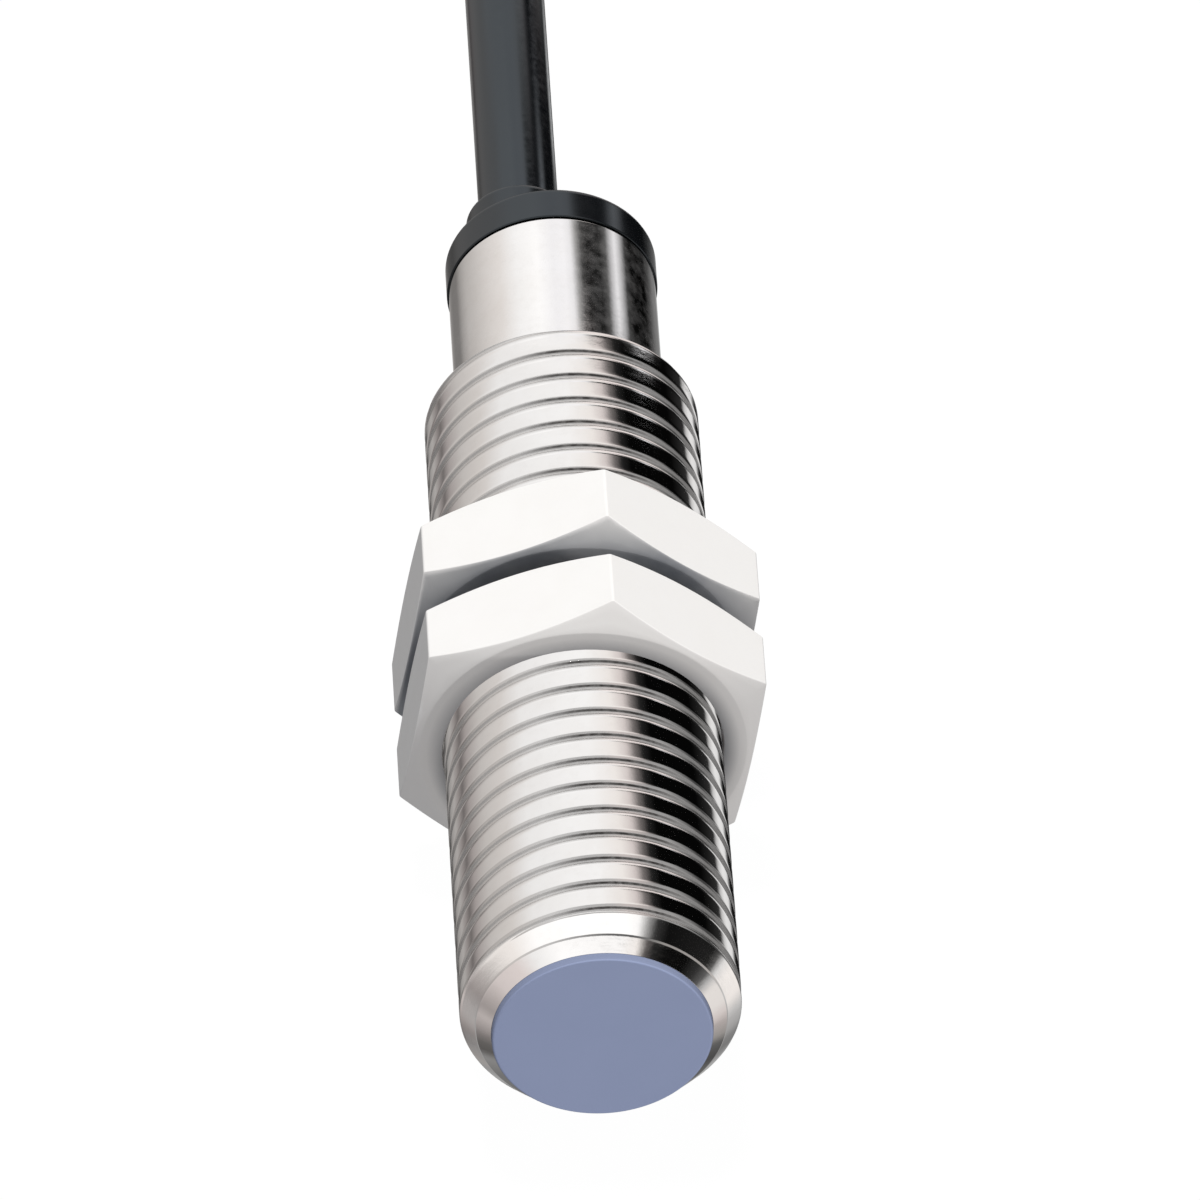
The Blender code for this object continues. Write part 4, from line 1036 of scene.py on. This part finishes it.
COMPONENTS = {
    "oscillator_ic": ("chip_black", dict(PACKAGE, share=0.655)),
    "output_transistor": ("chip_black", dict(PACKAGE, share=0.585)),
    "suppressor_diode": ("chip_black", dict(
        kind="chip", axis=0, share=0.57, body=(0.020, 0.020, 0.021), shade=(0.030, 0.030, 0.031),
        mark=(0.55, 0.55, 0.53))),
    "timing_capacitor": ("chip_ceramic", dict(
        kind="ceramic", axis=1, share=0.56, body=(0.40, 0.27, 0.15), shade=(0.47, 0.33, 0.20))),
    "trim_resistor": ("chip_black", RESISTOR),
    "smoothing_capacitor": ("tantalum_yellow", dict(
        kind="tantalum", axis=1, share=0.56, body=(0.74, 0.42, 0.06), shade=(0.68, 0.37, 0.05),
        mark=(0.25, 0.12, 0.03))),
    "load_resistor": ("chip_black", RESISTOR),
    "led_resistor": ("chip_black", RESISTOR),
    "protection_diode": ("diode_glass", dict(
        kind="glass", axis=1, share=0.71, body=(0.52, 0.17, 0.07), shade=(0.60, 0.24, 0.10),
        roughness=0.16, mark=(0.03, 0.03, 0.03))),
}


def carry(name, material):
    """Gives a CAD node that stays in view its material."""
    node = frame["nodes"][name]
    node.data.materials.clear()
    node.data.materials.append(material)
    for polygon in node.data.polygons:
        polygon.material_index = 0


for name, (material, slot) in CARRIED.items():
    carry(name, material)
for name, (slot, settings) in COMPONENTS.items():
    carry(name, component_look(name, **settings))
carry("indicator_led", LED_RED)

# ------------------------------------------------------------------ camera
CAMERA_AT = Vector((-0.02616062, -0.53738133, 0.55227672))
CAMERA_TURN, CAMERA_RISE = math.radians(-2.775), math.radians(44.376)
back = Vector((math.sin(CAMERA_TURN) * math.cos(CAMERA_RISE),
               -math.cos(CAMERA_TURN) * math.cos(CAMERA_RISE), math.sin(CAMERA_RISE)))
lens_data = bpy.data.cameras.new("camera")
lens_data.lens = 547.07
lens_data.sensor_width = 36.0
lens_data.clip_start, lens_data.clip_end = 0.05, 20.0
camera = bpy.data.objects.new("camera", lens_data)
SCENE.collection.objects.link(camera)
camera.location = CAMERA_AT
camera.rotation_mode = "QUATERNION"
camera.rotation_quaternion = (-back).to_track_quat("-Z", "Y")
SCENE.camera = camera

# ------------------------------------------------------------------ floor and world
WHITE = (1.0, 1.0, 1.0)
# What the floor and the world give to every ray that doesn't come from the camera.
DIM = dict(colour=(0.84, 0.90, 1.0), strength=0.17)


def floor_look():
    """Glowing white to the camera, a dim glow to other rays, and clear from below."""
    look = Look("floor_white")
    shown = look.glow(colour=WHITE, strength=0.99)
    lit = look.node("ShaderNodeBsdfDiffuse")
    look.feed(lit.inputs["Color"], (0.02, 0.02, 0.02))
    both = look.node("ShaderNodeAddShader")
    look.feed(both.inputs[0], shown)
    look.feed(both.inputs[1], lit.outputs[0])
    from_camera = look.node("ShaderNodeLightPath").outputs["Is Camera Ray"]
    above = look.pick(from_camera, look.glow(**DIM), both.outputs[0])
    below = look.node("ShaderNodeNewGeometry").outputs["Backfacing"]
    clear = look.node("ShaderNodeBsdfTransparent").outputs[0]
    return look.output(look.pick(below, above, clear))


floor_mesh = bpy.data.meshes.new("floor")
with editing(floor_mesh) as edit:
    bmesh.ops.create_grid(edit, x_segments=8, y_segments=8, size=6.0)
floor = bpy.data.objects.new("floor", floor_mesh)
floor.location = (0.0, 0.0, CAD_BOX[0].z - 0.02 * MM)
SCENE.collection.objects.link(floor)
floor_material = floor_look()
floor_material.cycles.emission_sampling = "NONE"
floor_mesh.materials.append(floor_material)
floor.visible_glossy = False

world = bpy.data.worlds.new("studio")
SCENE.world = world
look = Look("studio", world)
seen = look.glow(colour=WHITE, strength=1.05, kind="ShaderNodeBackground")
dim = look.glow(**DIM, kind="ShaderNodeBackground")
from_camera = look.node("ShaderNodeLightPath").outputs["Is Camera Ray"]
look.output(look.pick(from_camera, dim, seen), kind="ShaderNodeOutputWorld")
world.cycles_visibility.glossy = False


# ------------------------------------------------------------------ soft lights
def soft_sun(name, towards, energy, spread, colour):
    """A sun that stands in the direction towards; spread is its width in degrees."""
    data = bpy.data.lights.new(name, "SUN")
    data.energy = energy
    data.angle = math.radians(spread)
    data.color = colour
    made = bpy.data.objects.new(name, data)
    SCENE.collection.objects.link(made)
    made.rotation_mode = "QUATERNION"
    made.rotation_quaternion = Vector(towards).to_track_quat("Z", "Y")
    made.visible_glossy = False


soft_sun("key", towards=(-0.08, 0.10, 0.99), energy=3.35, spread=12.0, colour=(1.0, 0.99, 0.975))
soft_sun("fill", towards=(-0.02, -0.998, 0.055), energy=0.98, spread=6.0,
         colour=(1.0, 0.965, 0.945))
soft_sun("side", towards=(0.93, -0.36, 0.06), energy=1.05, spread=6.0, colour=(1.0, 0.97, 0.945))

# ------------------------------------------------------------------ reflection tent
# A soft white tent with black flags, a wide tube round the barrel's axis, seen only in
# reflections. Each part of it is what one kind of surface shows.
TENT_R = 100.0 * MM
WARM, COOL, ROSE = (1.0, 0.960, 0.930), (0.975, 0.975, 1.0), (1.0, 0.915, 0.895)

# Stripes are (degrees on the barrel from the top towards +X, brightness, tint if not white).
TAIL_STRIPES = [
    (-88, 0.45, WARM), (-83, 0.26, WARM), (-77, 0.20, WARM), (-69, 0.21, WARM), (-64, 0.38, WARM),
    (-58, 0.52, WARM), (-50, 0.62, WARM), (-42, 0.74, WARM), (-32, 0.86, WARM), (-22, 1.05),
    (-10, 1.16), (-1, 1.06, COOL), (5, 1.10, COOL), (9, 0.98, COOL), (12, 0.36), (15, 0.05),
    (18, 0.014), (26, 0.016), (30, 0.10), (33, 0.60, COOL), (36, 0.95, COOL), (39, 0.62, COOL),
    (43, 0.05), (47, 0.004), (60, 0.002), (65, 0.07), (72, 0.20), (77, 0.22), (82, 0.42),
    (88, 0.55),
]
THREAD_STRIPES = [
    (-88, 0.22, WARM), (-84, 0.05, WARM), (-79, 0.34, WARM), (-73, 0.45, WARM), (-68, 0.32, ROSE),
    (-64, 0.17, ROSE), (-59, 0.40, ROSE), (-50, 0.60, WARM), (-38, 0.74, WARM), (-28, 0.96),
    (-10, 1.04), (0, 1.06), (10, 0.98, WARM), (15, 0.74, ROSE), (18.5, 0.20, ROSE), (22, 0.018),
    (26, 0.002), (48, 0.002), (53, 0.012), (59, 0.03), (61.5, 0.62), (65, 0.88), (69.5, 0.80),
    (72, 0.20), (74, 0.006), (79, 0.006), (84, 0.10), (87, 0.32), (89, 0.45),
]
CONE_STRIPES = [
    (-130, 0.40), (-122, 0.32), (-116, 0.37, WARM), (-110, 0.30, WARM), (-104, 0.18, ROSE),
    (-98, 0.26, ROSE), (-92, 0.38, ROSE), (-86, 0.52, ROSE), (-79, 0.66, ROSE), (-73, 0.46, ROSE),
    (-66, 0.68, ROSE), (-56, 0.88, WARM), (-42, 1.0, WARM), (-30, 1.2), (-8, 1.25), (10, 1.25),
    (16, 1.15), (20, 0.42), (24, 0.04), (30, 0.006), (54, 0.015), (58, 0.08), (62, 0.85),
    (68, 1.08, WARM), (80, 0.98, WARM), (88, 0.62), (92, 0.50), (98, 0.41), (104, 0.25),
    (110, 0.21), (116, 0.28), (124, 0.43),
]
MOUTH_STRIPES = [
    (-124, 0.19), (-116, 0.24), (-110, 0.28), (-104, 0.115, WARM), (-98, 0.14, WARM),
    (-92, 0.24, ROSE), (-88, 0.36, ROSE), (-80, 0.54, ROSE), (-73, 0.38, ROSE), (-66, 0.50, ROSE),
    (-56, 0.72, ROSE), (-42, 0.82, ROSE), (-32, 1.0), (-20, 1.18), (8, 1.15), (15.5, 1.05, WARM),
    (20, 0.14, ROSE), (24, 0.018), (30, 0.004), (42, 0.004), (50, 0.035), (56, 0.12), (60, 0.55),
    (65, 0.88, WARM), (76, 0.86, WARM), (84, 0.72, ROSE), (89, 0.50, ROSE), (98, 0.35, WARM),
    (104, 0.13), (110, 0.10), (116, 0.078), (124, 0.13),
]
SHOULDER_STRIPES = [(angle + 5 if 9 < angle < 27 else angle, *rest)
                    for angle, *rest in THREAD_STRIPES]
RIDGE_STRIPES = [  # seen by the rounded edge between the mouth chamfer and the cone
    (-88, 0.40), (-70, 0.34, ROSE), (-45, 0.66, WARM), (-25, 0.62), (-8, 0.34), (4, 0.16),
    (14, 0.12), (22, 0.20), (30, 0.36, WARM), (50, 0.40, WARM), (62, 0.55, WARM), (76, 0.60),
    (88, 0.40),
]
NEAR_STRIPES = [  # seen by the groove walls that face the camera
    (-88, 0.30), (-80, 0.13, WARM), (-71, 0.38, WARM), (-61, 0.17, ROSE), (-51, 0.48, WARM),
    (-40, 0.56, WARM), (-20, 0.70), (-5, 0.52), (5, 0.54), (12, 0.66, ROSE), (18, 0.56, ROSE),
    (25, 0.36), (32, 0.38), (40, 0.22), (48, 0.06), (54, 0.06), (59, 0.22), (66, 0.20), (71, 0.10),
    (75, 0.12), (80, 0.30), (88, 0.40),
]
FAR_STRIPES = [  # seen by the groove walls that face away
    (-88, 0.30), (-80, 0.26, WARM), (-60, 0.32, ROSE), (-50, 0.52, WARM), (-40, 0.64, WARM),
    (-20, 0.86), (-5, 0.64), (5, 0.66), (12, 1.0, ROSE), (20, 1.0, ROSE), (32, 0.85, ROSE),
    (40, 0.80, ROSE), (46, 0.50), (51, 0.20), (57, 0.03), (62, 0.02), (70, 0.05), (80, 0.20),
    (88, 0.32),
]


def tent_place(degrees, radius, y, tilt=0.0):
    """The tent's angle in degrees and its station that a point of the barrel reflects.

    tilt leans the surface from facing straight out towards facing -Y.
    """
    t = math.radians(degrees)
    normal = Vector((math.sin(t) * math.cos(tilt), -math.sin(tilt), math.cos(t) * math.cos(tilt)))
    point = Vector((radius * math.sin(t), y, radius * math.cos(t)))
    view = (CAMERA_AT - point).normalized()
    ray = 2 * normal.dot(view) * normal - view
    # The quadratic for where the ray meets the tube
    a = ray.x * ray.x + ray.z * ray.z
    b = 2 * (point.x * ray.x + point.z * ray.z)
    c = point.x * point.x + point.z * point.z - TENT_R ** 2
    hit = point + ray * ((-b + math.sqrt(b * b - 4 * a * c)) / (2 * a))
    return math.degrees(math.atan2(hit.x, hit.z)), hit.y


def ramp_stops(stripes, radius, y, tilt=0.0):
    """Ramp stops round the tent for stripes as a surface at radius, y and tilt shows them."""
    made = []
    for degrees, level, *tint in stripes:
        colour = tuple(level * channel for channel in (tint[0] if tint else WHITE))
        made.append((tent_place(degrees, radius, y, tilt)[0], colour))
    made.sort()
    return [((degrees + 180.0) / 360.0, colour) for degrees, colour in made]


def tent_look():
    """The bands of stripes, from the front of the tube to the back, faded into each other."""
    look = Look("tent")
    x, y, z = look.split(look.coords())
    turn = look.plus(look.calc("DIVIDE", look.calc("ARCTAN2", x, z), 2 * math.pi), 0.5)

    def band(stripes, radius=THREAD_R, y=10 * MM, tilt=0.0):
        return look.ramp(turn, ramp_stops(stripes, radius, y, tilt))

    thread = band(THREAD_STRIPES)
    tail = band(TAIL_STRIPES, radius=TAIL_R, y=41 * MM)
    cone = band(CONE_STRIPES, radius=5.7 * MM, y=1.3 * MM, tilt=math.radians(38.4))
    mouth = band(MOUTH_STRIPES, radius=5.0 * MM, y=0.4 * MM, tilt=math.atan(1.295))
    ridge = band(RIDGE_STRIPES, radius=RIM_R, y=RIM_Y, tilt=math.radians(45))
    before = band(SHOULDER_STRIPES, tilt=math.radians(6))
    behind = band(SHOULDER_STRIPES, tilt=math.radians(-6))
    near = band(NEAR_STRIPES, tilt=math.radians(13))
    far = band(FAR_STRIPES, tilt=math.radians(-13))

    # Where the bands meet moves along the tube from its top to its bottom.
    low_down = look.calc("SUBTRACT", 1.0, look.calc("DIVIDE", z, TENT_R / MM))
    tail_from = (tent_place(0, THREAD_R, 36.9 * MM)[1] + tent_place(0, TAIL_R, 37.4 * MM)[1])

    def line(slope, start):
        """A station in millimetres: start at the tube's top, and slope more by mid-height."""
        return look.calc("MULTIPLY_ADD", low_down, slope, start)

    def past(edge, soft):
        return look.span(look.calc("SUBTRACT", y, edge), over=(-soft, soft))

    mouth_end = look.calc("MAXIMUM", line(slope=66.0, start=-105.0),
                          line(slope=160.0, start=-270.0))
    cone_end = look.calc("MAXIMUM", line(slope=31.0, start=-30.0),
                         line(slope=100.0, start=-125.0))
    thread_end = line(slope=1.9, start=tail_from / 2 / MM)
    near_end = look.calc("MINIMUM", line(slope=30.0, start=62.0), 80.0)
    far_from = look.calc("MAXIMUM", line(slope=-180.0, start=300.0), 175.0)
    ridge_half = line(slope=-13.0, start=28.0)
    light = mouth
    for factor, next_band in (
            (past(look.calc("SUBTRACT", mouth_end, ridge_half), soft=3.0), ridge),
            (past(look.plus(mouth_end, ridge_half), soft=3.0), cone),
            (past(cone_end, soft=4.0), near),
            (past(near_end, soft=4.0), before),
            (look.span(y, over=(86.0, 92.0)), thread),
            (past(thread_end, soft=0.5), tail),
            (look.span(y, over=(158.0, 162.0)), behind),
            (past(far_from, soft=8.0), far)):
        light = look.mix(factor, light, next_band)

    # Full strength until the light path has bounced off a diffuse surface, then faint.
    depth = look.node("ShaderNodeLightPath").outputs["Diffuse Depth"]
    strength = look.blend(look.calc("LESS_THAN", depth, 0.5), 0.05, 1.0)
    return look.output(look.glow(light, strength))


tent_mesh = bpy.data.meshes.new("reflection_tent")
verts, faces = lathe_mesh([(0.0, -0.5), (TENT_R, -0.5), (TENT_R, 1.0), (0.0, 1.0)], 128)
tent_mesh.from_pydata(verts, [], faces)
with editing(tent_mesh) as edit:
    bmesh.ops.remove_doubles(edit, verts=edit.verts, dist=1e-6)
tent = bpy.data.objects.new("reflection_tent", tent_mesh)
SCENE.collection.objects.link(tent)
tent_material = tent_look()
tent_material.cycles.emission_sampling = "NONE"
tent_mesh.materials.append(tent_material)
tent.visible_camera = False
tent.visible_diffuse = False
tent.visible_shadow = False
tent.visible_transmission = False
tent.visible_volume_scatter = False

SCENE.view_settings.view_transform = "Standard"
